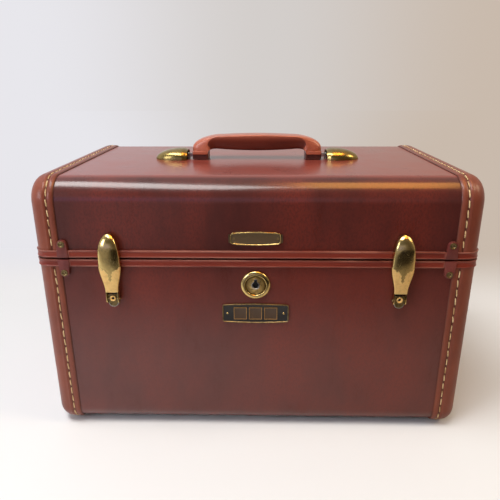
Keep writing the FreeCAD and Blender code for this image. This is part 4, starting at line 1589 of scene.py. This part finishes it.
@dataclass
class LockSet:
    """Ringed lock face with a plug that turns in it."""

    ring_in: float = 7.4 * MM
    ring_top: float = 8.3 * MM
    ring_out: float = 11.3 * MM
    ring_rise: float = 2.5 * MM
    plug_radius: float = 6.9 * MM
    plug_rise: float = 1.9 * MM
    hole_radius: float = 2.3 * MM
    slot_half: float = 0.95 * MM
    slot_top: float = 4.2 * MM
    wall_foot: float = 0.35 * MM
    wall_top: float = 0.3 * MM
    wall_rise: float = 0.7 * MM
    ring_lip: float = 0.9 * MM
    collar: float = 0.9 * MM
    collar_rise: float = 0.25 * MM
    collar_soft: float = 0.15 * MM
    crest_band: float = 0.1 * MM
    groove_in: float = 0.7 * MM
    groove_half: float = 0.2 * MM
    groove_depth: float = 0.25 * MM
    edge_soft: float = 0.3 * MM
    socket_depth: float = 0.6 * MM
    floor_rise: float = 0.2 * MM
    around: int = 96

    def build(self) -> None:
        """Makes the ring and the plug."""
        low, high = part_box("lock_bezel")
        middle = Vector((0, high.y, (low.z + high.z) / 2))
        ring = [(self.ring_in - self.wall_foot, 0.0), (self.ring_in - self.wall_top, self.wall_rise),
                (self.ring_in, self.ring_lip)]
        for i in range(13):
            angle = math.pi * (0.06 + 0.94 * i / 12)
            width = self.ring_top - self.ring_in if angle < math.pi / 2 else self.ring_out - self.ring_top
            ring.append((self.ring_top - width * math.cos(angle), self.ring_rise * math.sin(angle) ** 0.8))
        self.turned("lock_ring", BRASS, middle, ring).done("base", "brass", "lock_bezel", angle=50)
        self.plug(middle)

    def turned(self, name: str, finish: Finish, middle: Vector, profile: list[tuple[float, float]]) -> Model:
        """Turns a profile of radius and rise about the lock's axis.

        Args:
            name: the piece's name.
            finish: its finish.
            middle: where the axis meets the case.
            profile: the radius and rise of each row.

        Returns:
            The model.
        """
        steps = len(profile) - 1

        def place(turn: float, run: float) -> Vector:
            """Point on the turned skin.

            Args:
                turn: how far round, 0 to 1.
                run: how far along, 0 to 1.

            Returns:
                The point.
            """
            radius, rise = profile[round(run * steps)]
            angle = 2 * math.pi * turn
            return middle + Vector((radius * math.cos(angle), -rise, radius * math.sin(angle)))
        return Model.surface(name, finish, self.around, steps, place)

    def outline(self, angle: float) -> float:
        """The keyhole's edge as a distance from the plug's middle.

        Args:
            angle: the direction in radians.

        Returns:
            The distance.
        """
        across, up = math.cos(angle), math.sin(angle)
        if up <= 0:
            return self.hole_radius
        sideways = self.slot_half / max(abs(across), 1e-6)
        return max(self.hole_radius, min(sideways, self.slot_top / up))

    def plug(self, middle: Vector) -> None:
        """A disc with a raised collar round a keyhole painted near black as painted shade.

        Args:
            middle: where the lock's axis meets the case.
        """
        rise = self.plug_rise
        crest, soft = rise + self.collar_rise, self.collar_soft
        rows = [(0.0, 0.0, self.floor_rise), (1.0, 0.0, self.floor_rise), (1.0, 0.0, crest - soft),
                (1.0, soft, crest), (1.0, self.collar, crest), (1.0, self.collar + 2 * soft, rise)]
        edge, groove = self.plug_radius, self.plug_radius - self.groove_in
        rim = [(groove - self.groove_half, rise), (groove, rise - self.groove_depth),
               (groove + self.groove_half, rise), (edge - self.edge_soft / 2, rise - self.edge_soft / 6),
               (edge, rise - self.edge_soft), (edge, self.floor_rise)]
        steps = len(rows) + len(rim) - 1

        def place(turn: float, run: float) -> Vector:
            """Point on the plug's skin.

            Args:
                turn: how far round, 0 to 1.
                run: how far along, 0 to 1.

            Returns:
                The point.
            """
            angle = 2 * math.pi * turn
            row = round(run * steps)
            if row < len(rows):
                share, wider, out = rows[row]
                radius = share * self.outline(angle) + wider
            else:
                radius, out = rim[row - len(rows)]
            return middle + Vector((radius * math.cos(angle), -out, radius * math.sin(angle)))

        model = Model.surface("lock_plug_face", PLUG, self.around, steps, place)
        model.pick(Kind.FACE, lambda at, way: middle.y - at.y > crest - self.crest_band)
        model.paint(STEEL)
        # Painted shade: the keyhole's shallow floor and walls are painted near black
        model.pick(Kind.FACE, lambda at, way: middle.y - at.y < rise - self.socket_depth
                   and math.hypot(at.x, at.z - middle.z) < self.slot_top + self.collar)
        model.paint(HOLE_SHADE)
        model.done("lock", "brass", "lock_plug", angle=40)


@dataclass
class Plates:
    """The blank badge on the lid and the name plate with its three blank tiles."""

    bow: float = 0.16
    corner: float = 1.7 * MM
    badge_corner: float = 2.7 * MM
    rim: float = 0.65 * MM
    recess: float = 0.45 * MM
    soft: float = 0.15 * MM
    tile_side: float = 10.0 * MM
    tile_pitch: float = 11.6 * MM
    tile_rim: float = 0.34 * MM
    slices: int = 14

    def build(self) -> None:
        """Makes the badge, the plate and the tiles."""
        self.barrel("blank_badge", "front_badge", "lid", BRASS, FIELD, self.bow * 1.3, self.badge_corner)
        self.barrel("blank_name_plate", "name_plate", "base", AGED, PLATE, self.bow * 0.7, self.corner)
        low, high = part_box("name_tiles")
        half = self.tile_side / 2
        middle = (low + high) / 2
        for i in (-1, 0, 1):
            x = middle.x + i * self.tile_pitch
            model = Model.block(f"blank_tile_{i + 2}", GILT, Vector((x - half, low.y, middle.z - half)),
                                Vector((x + half, high.y, middle.z + half)))
            model.pick(Kind.FACE, lambda at, way: way.y < -FACING)
            model.inset(self.tile_rim).inset(self.soft, -self.recess * 0.5).paint(TILE)
            model.soften(self.soft, 2)
            model.done("base", "tile", "name_tiles")

    def barrel(self, name: str, node: str, body: str, edge: Finish, field: Finish, bow: float,
               corner: float) -> None:
        """A plate with bowed long sides, round corners and a sunk field.

        Args:
            name: the piece's name.
            node: the CAD node that it stands for.
            body: the body that it rides on.
            edge: finish of the rim.
            field: finish of the field.
            bow: how much lower the ends are than the middle, as a share of the height.
            corner: radius of its corners.
        """
        low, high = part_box(node)
        middle = (low + high) / 2
        half = (high.x - low.x) / 2
        model = Model.block(name, edge, low, high)
        for i in range(1, self.slices):
            model.cut(Vector((low.x + (high.x - low.x) * i / self.slices, 0, 0)), Vector((1, 0, 0)))
        model.reshape(lambda at, way: Vector((at.x, at.y, middle.z + (at.z - middle.z)
                                              * (1 - bow * ((at.x - middle.x) / half) ** 2))))
        model.pick(Kind.EDGE, lambda at, run: abs(run.y) > FACING and abs(abs(at.x - middle.x) - half) < TINY)
        model.bevel(corner, 6)
        model.pick(Kind.FACE, lambda at, way: way.y < -FACING)
        model.inset(self.rim).inset(self.soft, -self.recess).paint(field)
        model.soften(self.rim * 0.4, 3)
        model.done(body, "plate" if node == "name_plate" else "brass", node)


@dataclass
class Handle:
    """Leather grip: a bow with square legs and a belly that draws in underneath."""

    mid_y: float = 1.1 * MM
    leg_out: float = 55.5 * MM
    leg_in: float = 42.0 * MM
    leg_foot: float = 212.7 * MM
    shoulder_z: float = 216.6 * MM
    shoulder_in: float = 29.0 * MM
    shoulder_top: float = 227.1 * MM
    crown: float = 227.9 * MM
    belly_z: float = 213.8 * MM
    belly_end_z: float = 215.3 * MM
    belly_end_x: float = 35.0 * MM
    depth: float = 9.9 * MM
    belly_depth: float = 4.6 * MM
    flap_low: float = 211.2 * MM
    flap_thick: float = 1.5 * MM
    flap_lap: float = 1.5 * MM
    flap_set: float = 0.1 * MM
    flap_inset: float = 0.2 * MM
    flap_round: float = 1.0 * MM
    flap_soft: float = 0.35 * MM
    belly_lap: float = 1.0 * MM
    cap_setback: float = 2.2 * MM
    cap_crest: float = 5.5 * MM
    cap_sheet: float = 1.0 * MM
    leg_run: float = 0.16
    shoulder_run: float = 0.62
    belly_run: float = 0.5
    knee: float = 0.45
    squareness: float = 0.42
    around: int = 44
    crease_row: int = 10
    along: int = 160

    def build(self) -> None:
        """Makes the caps, the grip and the flaps that close its legs over the ferrules."""
        for side in Side:
            self.cap(side)
        model = Model.surface("grip", GRIP, self.around, self.along, self.skin)
        model.pick(Kind.FACE, self.is_belly)
        # The belly's faces take the painted shade
        model.paint(SHADED_BELLY)
        model.done("handle", "grip_leather", "handle_grip", angle=60)
        for side in Side:
            for way in (-1, 1):
                self.flap(side, way)

    def cap(self, side: Side) -> None:
        """A hollow brass hood over a link's bracket, open towards the grip.

        Args:
            side: left or right.
        """
        node = "handle_cap_" + side.word
        low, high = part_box(node)
        tip = max(abs(low.x), abs(high.x))
        mouth = min(abs(low.x), abs(high.x)) + self.cap_setback
        crest = mouth + self.cap_crest
        wide = (high.y - low.y) / 2

        def place(across: float, along: float) -> Vector:
            """Point on the cap's skin.

            Args:
                across: how far across, 0 to 1.
                along: how far along, 0 to 1.

            Returns:
                The point.
            """
            x = mouth + (tip - mouth) * math.sin(along * math.pi / 2)
            fall = max(x - crest, 0.0) / (tip - crest)
            round_off = math.sqrt(max(1 - fall ** 2.1, 0.0))
            lip = 1 - 0.13 * (1 - ease(x, mouth, crest)) ** 2
            angle = math.pi * across
            side_way = math.copysign(abs(math.cos(angle)) ** 0.8, math.cos(angle))
            return Vector((side.value * x, self.mid_y - wide * lip * round_off ** 0.9 * side_way,
                           low.z + (high.z - low.z) * lip * round_off * math.sin(angle) ** 0.8))

        model = Model.surface("cap_" + side.word, HOOD, 40, 36, place)
        model.thicken(self.cap_sheet)
        model.done("lid", "brass", node, angle=50)

    def outer(self, run: float) -> Vector:
        """The bow's outer line from one foot to the middle, for run 0 to 1.

        Args:
            run: 0 at the foot, 1 at the middle.

        Returns:
            The point, with its Y at 0.
        """
        if run < self.leg_run:
            rise = self.shoulder_z - self.leg_foot
            return Vector((self.leg_out, 0, self.leg_foot + rise * run / self.leg_run))
        if run < self.shoulder_run:
            angle = (run - self.leg_run) / (self.shoulder_run - self.leg_run) * math.pi / 2
            return Vector((self.shoulder_in + (self.leg_out - self.shoulder_in) * math.cos(angle), 0,
                           self.shoulder_z + (self.shoulder_top - self.shoulder_z) * math.sin(angle)))
        x = self.shoulder_in * (1 - (run - self.shoulder_run) / (1 - self.shoulder_run))
        return Vector((x, 0, self.crown - (self.crown - self.shoulder_top) * (x / self.shoulder_in) ** 2))

    def inner(self, run: float) -> Vector:
        """The bow's inner line from one foot to the middle, for run 0 to 1.

        Args:
            run: 0 at the foot, 1 at the middle.

        Returns:
            The point, with its Y at 0.
        """
        rise = (self.belly_end_z - self.leg_foot) * self.knee
        if run < self.leg_run:
            return Vector((self.leg_in, 0, self.leg_foot + rise * run / self.leg_run))
        if run < self.belly_run:
            angle = (run - self.leg_run) / (self.belly_run - self.leg_run) * math.pi / 2
            low = self.leg_foot + rise
            return Vector((self.leg_in + (self.belly_end_x - self.leg_in) * (1 - math.cos(angle)), 0,
                           low + (self.belly_end_z - low) * math.sin(angle)))
        x = self.belly_end_x * (1 - (run - self.belly_run) / (1 - self.belly_run))
        return Vector((x, 0, self.belly_z + (self.belly_end_z - self.belly_z) * (x / self.belly_end_x) ** 2))

    def half_depth(self, share: float, run: float) -> float:
        """Half the grip's depth, share 0 at its outer line and 1 at its inner one."""
        draw = max(share - self.crease(run), 0.0) / (1.001 - self.crease(run))
        return self.depth - (self.depth - self.belly_depth) * draw ** 1.2 * (1 - self.legness(run) ** 3)

    def legness(self, run: float) -> float:
        """1 on the legs, 0 on the bow."""
        return 1 - ease(run, 0.25, 0.56)

    def crease(self, run: float) -> float:
        """Where the flat front ends and the belly starts, as a share of the bow's thickness."""
        return 0.08 + 0.92 * self.legness(run)

    def skin(self, turn: float, along: float) -> Vector:
        """Point on the grip's skin.

        Args:
            turn: how far round the section, 0 to 1.
            along: how far from leg to leg, 0 to 1.

        Returns:
            The point.
        """
        across = (along - 0.5) * 2
        run = 1 - abs(across)
        outer, inner = self.outer(run), self.inner(run)
        angle = 2 * math.pi * turn
        lift = math.copysign(abs(math.cos(angle)) ** self.squareness, math.cos(angle))
        wide = math.copysign(abs(math.sin(angle)) ** self.squareness, math.sin(angle))
        if run < 0.5 / self.along:
            lift = wide = 0.0
        share = self.shifted((1 - lift) / 2, run)
        spot = outer + (inner - outer) * share
        spot.x *= math.copysign(1, across)
        spot.y = self.mid_y + wide * self.half_depth(share, run)
        return spot

    def shifted(self, share: float, run: float) -> float:
        """Moves a row of the grid so that one row lies on the crease.

        Args:
            share: the row's place, 0 at the outer line and 1 at the inner one.
            run: 0 at the foot, 1 at the middle.

        Returns:
            Its new place.
        """
        angle = 2 * math.pi * self.crease_row / self.around
        row = (1 - math.cos(angle) ** self.squareness) / 2
        crease = self.crease(run)
        if share < row:
            return share / row * crease
        return crease + (share - row) / (1 - row) * (1 - crease)

    def is_belly(self, at: Vector, way: Vector) -> bool:
        """Whether a face lies on the drawn-in part under the bow."""
        return way.z < -0.06 and abs(at.x) < self.leg_in + self.belly_lap and at.z > self.leg_foot

    def flap(self, side: Side, way: int) -> None:
        """One leather flap down the front or back of a ferrule.

        Args:
            side: left or right.
            way: -1 at the front, 1 at the back.
        """
        face = self.mid_y + way * (self.depth - self.flap_set)
        ends_y = sorted((face, face - way * self.flap_thick))
        ends_x = sorted((side.value * (self.leg_in + self.flap_inset),
                         side.value * (self.leg_out - self.flap_inset)))
        word = "front" if way < 0 else "back"
        model = Model.block(f"grip_flap_{side.word}_{word}", GRIP,
                            Vector((ends_x[0], ends_y[0], self.flap_low)),
                            Vector((ends_x[1], ends_y[1], self.leg_foot + self.flap_lap)))
        model.pick(Kind.EDGE, lambda at, run: abs(run.y) > FACING and at.z < self.leg_foot)
        model.bevel(self.flap_round, 4)
        model.soften(self.flap_soft, 3)
        model.done("handle", "grip_leather", "handle_grip")


@dataclass
class Interior:
    """Quilted linings, the lift-out tray and the mirror."""

    board: float = 1.2 * MM
    base_corner: float = 11.0 * MM
    lid_corner: float = 14.5 * MM
    upright_corner: float = 1.5 * MM
    cell: float = 32.0 * MM
    puff: float = 2.0 * MM
    puff_by_tray: float = 0.45 * MM
    tray_zone: float = 112.0 * MM
    seam_margin: float = 7.0 * MM
    cuts: int = 62
    tray_wall: float = 2.5 * MM
    tray_soft: float = 0.8 * MM
    divider_soft: float = 0.5 * MM
    frame_width: float = 3.2 * MM
    frame_sheet: float = 0.7 * MM
    frame_soft: float = 0.3 * MM
    mirror_margin: tuple[float, float] = (1 * MM, 12 * MM)
    tray_blend: float = 12.0 * MM
    corner_blend: float = 8.0 * MM

    def build(self) -> None:
        """Makes the pieces inside the case."""
        for half in Half:
            self.lining(half)
        self.tray()
        self.mirror()

    def lining(self, half: Half) -> None:
        """Quilts an open box over thin padding.

        Args:
            half: base or lid.
        """
        node = half.word + "_lining"
        low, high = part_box(node)
        model = Model.block("quilted_lining_" + half.word, LINING, low, high)
        model.pick(Kind.FACE, lambda at, way: way.z * half.value < -FACING)
        model.drop()
        bpy.ops.mesh.select_all(action="SELECT")
        bpy.ops.mesh.subdivide(number_cuts=self.cuts)
        model.reshape(lambda at, way: self.rounded(at, low, high, half))
        bpy.ops.mesh.select_all(action="SELECT")
        bpy.ops.mesh.flip_normals()
        model.thicken(self.board)
        model.done(half.word, "lining", node, angle=70)

    def rounded(self, at: Vector, low: Vector, high: Vector, half: Half) -> Vector:
        """Moves a point of the plain box onto the rounded and padded lining.

        Args:
            at: the point.
            low: the box's low corner.
            high: the box's high corner.
            half: base or lid; its open side keeps square edges.

        Returns:
            The point's place on the padded face.
        """
        corner = self.base_corner if half is Half.BASE else self.lid_corner
        deep = at.z - low.z if half is Half.BASE else high.z - at.z
        plan = corner + (self.upright_corner - corner) * ease(deep, corner, corner + self.corner_blend)
        core = Vector([min(max(at[i], low[i] + plan), high[i] - plan) for i in range(3)])
        core.z = max(at.z, low.z + corner) if half is Half.BASE else min(at.z, high.z - corner)
        out = at - core
        reach = max(abs(step) for step in out)
        return core + out.normalized() * (reach - self.board - self.pad(at, low, high, half))

    def pad(self, at: Vector, low: Vector, high: Vector, half: Half) -> float:
        """How far the padding swells at a point of the lining's board.

        Args:
            at: the point.
            low: the lining's low corner.
            high: its high corner.
            half: base or lid.

        Returns:
            The padding's height.
        """
        near = [min(at[i] - low[i], high[i] - at[i]) for i in range(3)]
        if half is Half.BASE:
            near[2] = at.z - low.z
        else:
            near[2] = high.z - at.z
        flat = near.index(min(near))
        first, second = [at[i] for i in range(3) if i != flat]
        rows = abs(math.sin(math.pi * (first + second) / self.cell)
                   * math.sin(math.pi * (first - second) / self.cell))
        rim = high.z - at.z if half is Half.BASE else at.z - low.z
        edges = [near[i] for i in range(3) if i != flat] + [rim]
        hold = ease(min(edges), 0.0, self.seam_margin)
        height = self.puff
        if half is Half.BASE:
            by_tray = ease(at.z, self.tray_zone - self.tray_blend, self.tray_zone)
            height += (self.puff_by_tray - self.puff) * by_tray
        elif flat == 2:
            height *= self.beside_mirror(at)
        else:
            height = self.puff_by_tray
        return height * rows ** 0.6 * hold

    def beside_mirror(self, at: Vector) -> float:
        """0 behind the mirror, rising to 1 beside it.

        Args:
            at: the point.

        Returns:
            The share.
        """
        low, high = self.mirror_box
        past = max(low.x - at.x, at.x - high.x, low.y - at.y, at.y - high.y)
        return ease(past, *self.mirror_margin)

    @cached_property
    def mirror_box(self) -> tuple[Vector, Vector]:
        """Corners of the mirror's frame."""
        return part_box("mirror_frame")

    def tray(self) -> None:
        """A shallow tray with soft edges, lined inside, and its divider."""
        low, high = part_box("tray")
        floor = low.z + self.tray_wall
        model = Model.block("lift_out_tray", TRAY, low, high)
        model.pick(Kind.FACE, lambda at, way: way.z > FACING)
        model.inset(self.tray_wall)
        model.extrude(Vector((0, 0, floor - high.z)))
        model.paint(LINING)
        model.soften(self.tray_soft, 3)
        model.done("tray", "tray", "tray")
        low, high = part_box("tray_divider")
        model = Model.block("tray_partition", TRAY, low, high)
        model.soften(self.divider_soft, 3)
        model.done("tray", "tray", "tray_divider")

    def mirror(self) -> None:
        """A brass frame with a stepped, softened edge round the glass."""
        low, high = self.mirror_box
        model = Model.block("mirror_surround", BRASS, low, high)
        model.pick(Kind.FACE, lambda at, way: way.z < -FACING)
        model.inset(self.frame_width).drop()
        model.pick(Kind.FACE, lambda at, way: way.z > FACING)
        model.drop().thicken(self.frame_sheet)
        model.soften(self.frame_soft, 3)
        model.done("lid", "brass", "mirror_frame")


@dataclass
class Studio:
    """Pale floor, pale surround, soft lamps and the camera."""

    camera_at: Vector = Vector((0.0036, -0.4399, 0.2743))
    pitch: float = -19.15
    yaw: float = 1.28
    roll: float = 0.16
    lens: float = 35.89
    sensor: float = 36.0
    floor_size: float = 8.0
    floor_tone: Rgb = (240, 242, 243)
    shade_tone: Rgb = (188, 178, 168)
    left_tone: Rgb = (232, 231, 236)
    surround_tone: Rgb = (211, 206, 203)
    right_tone: Rgb = (201, 186, 172)
    room_tone: Rgb = (40, 36, 34)
    haze_tone: Rgb = (160, 156, 158)
    room_light: float = 0.5
    room_light_front: float = 0.13
    room_mirrored_front: float = 0.2
    window_level: float = 1.0
    window_tone: Rgb = (168, 166, 214)

    def build(self) -> None:
        """Sets the stage."""
        view = bpy.context.scene.view_settings
        view.view_transform = "Standard"
        self.floor()
        self.surround()
        self.lamps()
        self.camera()

    def floor(self) -> None:
        """A wide floor that fades into the surround with distance."""
        bpy.ops.object.select_all(action="DESELECT")
        bpy.ops.mesh.primitive_plane_add(size=self.floor_size)
        plane = bpy.context.active_object
        plane.name = "floor"
        graph = Graph("floor_paper")
        far = graph.node("ShaderNodeVectorMath", {"operation": "LENGTH"}, {0: graph.place}, "Value")
        seen = graph.path("Is Camera Ray")
        rightwards = graph.rise(graph.axis("X"), -0.2, 0.3)
        shade = graph.blend(rightwards, linear(self.floor_tone), linear(self.shade_tone))
        graph.dress(Base_Color=graph.blend(seen, shade, linear(self.floor_tone)), Roughness=0.6)
        paper = Value(graph, graph.shader.outputs[0])
        heading = graph.node("ShaderNodeVectorMath", {"operation": "NORMALIZE"}, {0: graph.place})
        glow = graph.node("ShaderNodeEmission", {}, {0: self.wall_tone(graph, heading), 1: 1.0})
        away = graph.rise(far, 0.7, 1.6).most(graph.rise(graph.axis("Y"), 0.12, 0.36))
        faded = graph.node("ShaderNodeMixShader", {}, {0: away, 1: paper, 2: glow})
        mirrored = graph.path("Is Glossy Ray")
        clearing = graph.rise(graph.axis("X"), -0.34, -0.02)
        haze = graph.blend(clearing, linear(self.haze_tone), linear(self.room_tone))
        dim = graph.node("ShaderNodeEmission", {}, {0: haze, 1: 1.0})
        before = mirrored * graph.rise(-1 * graph.axis("Y"), 0.17, 0.42)
        mixed = graph.node("ShaderNodeMixShader", {}, {0: before, 1: faded, 2: dim})
        graph.join(graph.tree.nodes["Material Output"].inputs["Surface"], mixed)
        plane.data.materials.append(graph.material)

    def surround(self) -> None:
        """A world that looks pale to the camera and to polished surfaces, and lights softly."""
        graph = WorldGraph("surround")
        ahead = graph.rise(graph.axis("Y"), -0.75, 0.2)
        lit = self.room_light_front + (self.room_light - self.room_light_front) * ahead
        low_band = graph.rise(graph.axis("Z"), -0.06, 0.06) * (1 - graph.rise(graph.axis("Z"), 0.2, 0.42))
        window = low_band * (1 - graph.rise(graph.axis("X"), -0.3, 0.5)) * (1 - ahead)
        shown = self.room_mirrored_front + (1 - self.room_mirrored_front) * ahead + self.window_level * window
        mirrored = graph.path("Is Glossy Ray").most(graph.path("Is Transmission Ray"))
        level = lit + (shown - lit) * mirrored
        camera = graph.path("Is Camera Ray")
        tone = graph.blend(window * mirrored, self.wall_tone(graph, graph.place), linear(self.window_tone))
        graph.dress(Color=tone, Strength=level + (1 - level) * camera)

    def wall_tone(self, graph: Graph, heading: Value) -> Value:
        """The surround's colour in a direction, cooler and lighter to the left, warmer to the right.

        Args:
            graph: the graph to build in.
            heading: the direction.

        Returns:
            The colour.
        """
        x = graph.node("ShaderNodeSeparateXYZ", {}, {0: heading}, "X")
        tone = graph.blend(graph.rise(x, -0.42, 0.02), linear(self.left_tone), linear(self.surround_tone))
        return graph.blend(graph.rise(x, 0.0, 0.42), tone, linear(self.right_tone))

    def lamps(self) -> None:
        """Two soft boxes overhead, the right one warm and only mirrored, and one to each side."""
        self.lamp("overhead", Vector((-0.42, -0.4, 1.5)), Vector((0, 0, 0.1)), (1.1, 0.45), 18,
                  (255, 252, 250))
        glint = self.lamp("overhead_warm", Vector((0.4, -0.36, 1.5)), Vector((0.4, -0.36, 0)), (0.55, 0.75),
                          12, (255, 178, 84))
        glint.visible_diffuse = False
        self.lamp("warm_right", Vector((1.0, -0.25, 0.9)), Vector((0.3, -0.1, 0)), (0.4, 0.4), 4.5,
                  (255, 226, 186))
        self.lamp("cool_left", Vector((-0.95, -0.85, 0.65)), Vector((0, 0, 0.12)), (0.4, 0.6), 5.5,
                  (242, 246, 255))

    def lamp(self, name: str, spot: Vector, aim: Vector, size: tuple[float, float], power: float,
             tone: Rgb) -> bpy.types.Object:
        """One soft box.

        Args:
            name: the lamp's name.
            spot: where it hangs.
            aim: the point that it faces.
            size: its width and height.
            power: its strength in watts.
            tone: its colour.

        Returns:
            The lamp.
        """
        light = bpy.data.lights.new(name, "AREA")
        light.shape = "RECTANGLE"
        light.size, light.size_y = size
        light.energy = power
        light.color = linear(tone)[:3]
        holder = bpy.data.objects.new(name, light)
        holder.location = spot
        holder.rotation_euler = (aim - spot).to_track_quat("-Z", "Y").to_euler()
        bpy.context.collection.objects.link(holder)
        return holder

    def camera(self) -> None:
        """Stands the camera where the photograph's perspective puts it."""
        lens = bpy.data.cameras.new("camera")
        lens.lens = self.lens
        lens.sensor_width = self.sensor
        turn = [Matrix.Rotation(math.radians(a), 3, x) for a, x in
                ((self.yaw, "Z"), (self.pitch, "X"), (self.roll, "Y"))]
        look = turn[0] @ turn[1] @ turn[2]
        right, ahead, up = look.col[0], look.col[1], look.col[2]
        holder = bpy.data.objects.new("camera", lens)
        facing = Matrix((right, up, -ahead)).transposed().to_4x4()
        holder.matrix_world = Matrix.Translation(self.camera_at) @ facing
        bpy.context.collection.objects.link(holder)
        bpy.context.scene.camera = holder


def dress_nodes() -> None:
    """Gives every CAD node the finish of its slot."""
    for part in frame["record"]["subparts"]:
        slots = frame["nodes"][part["node"]].data.materials
        finish = NODE_FINISH.get(part["node"], SLOT_FINISH[part["material_slot"]])
        slots.clear()
        slots.append(finish.material())


def main() -> None:
    """Builds the scene in order."""
    logging.basicConfig(level=logging.INFO, format="%(name)s: %(message)s")
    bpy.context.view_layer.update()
    dress_nodes()
    for builder in (Covering(), EndPans(), Seams(), PartingTrim(), Latches(), LockSet(), Plates(),
                    Handle(), Interior(), Studio()):
        builder.build()
        log.info("%s done", type(builder).__name__)


if __name__ == "__main__":
    main()
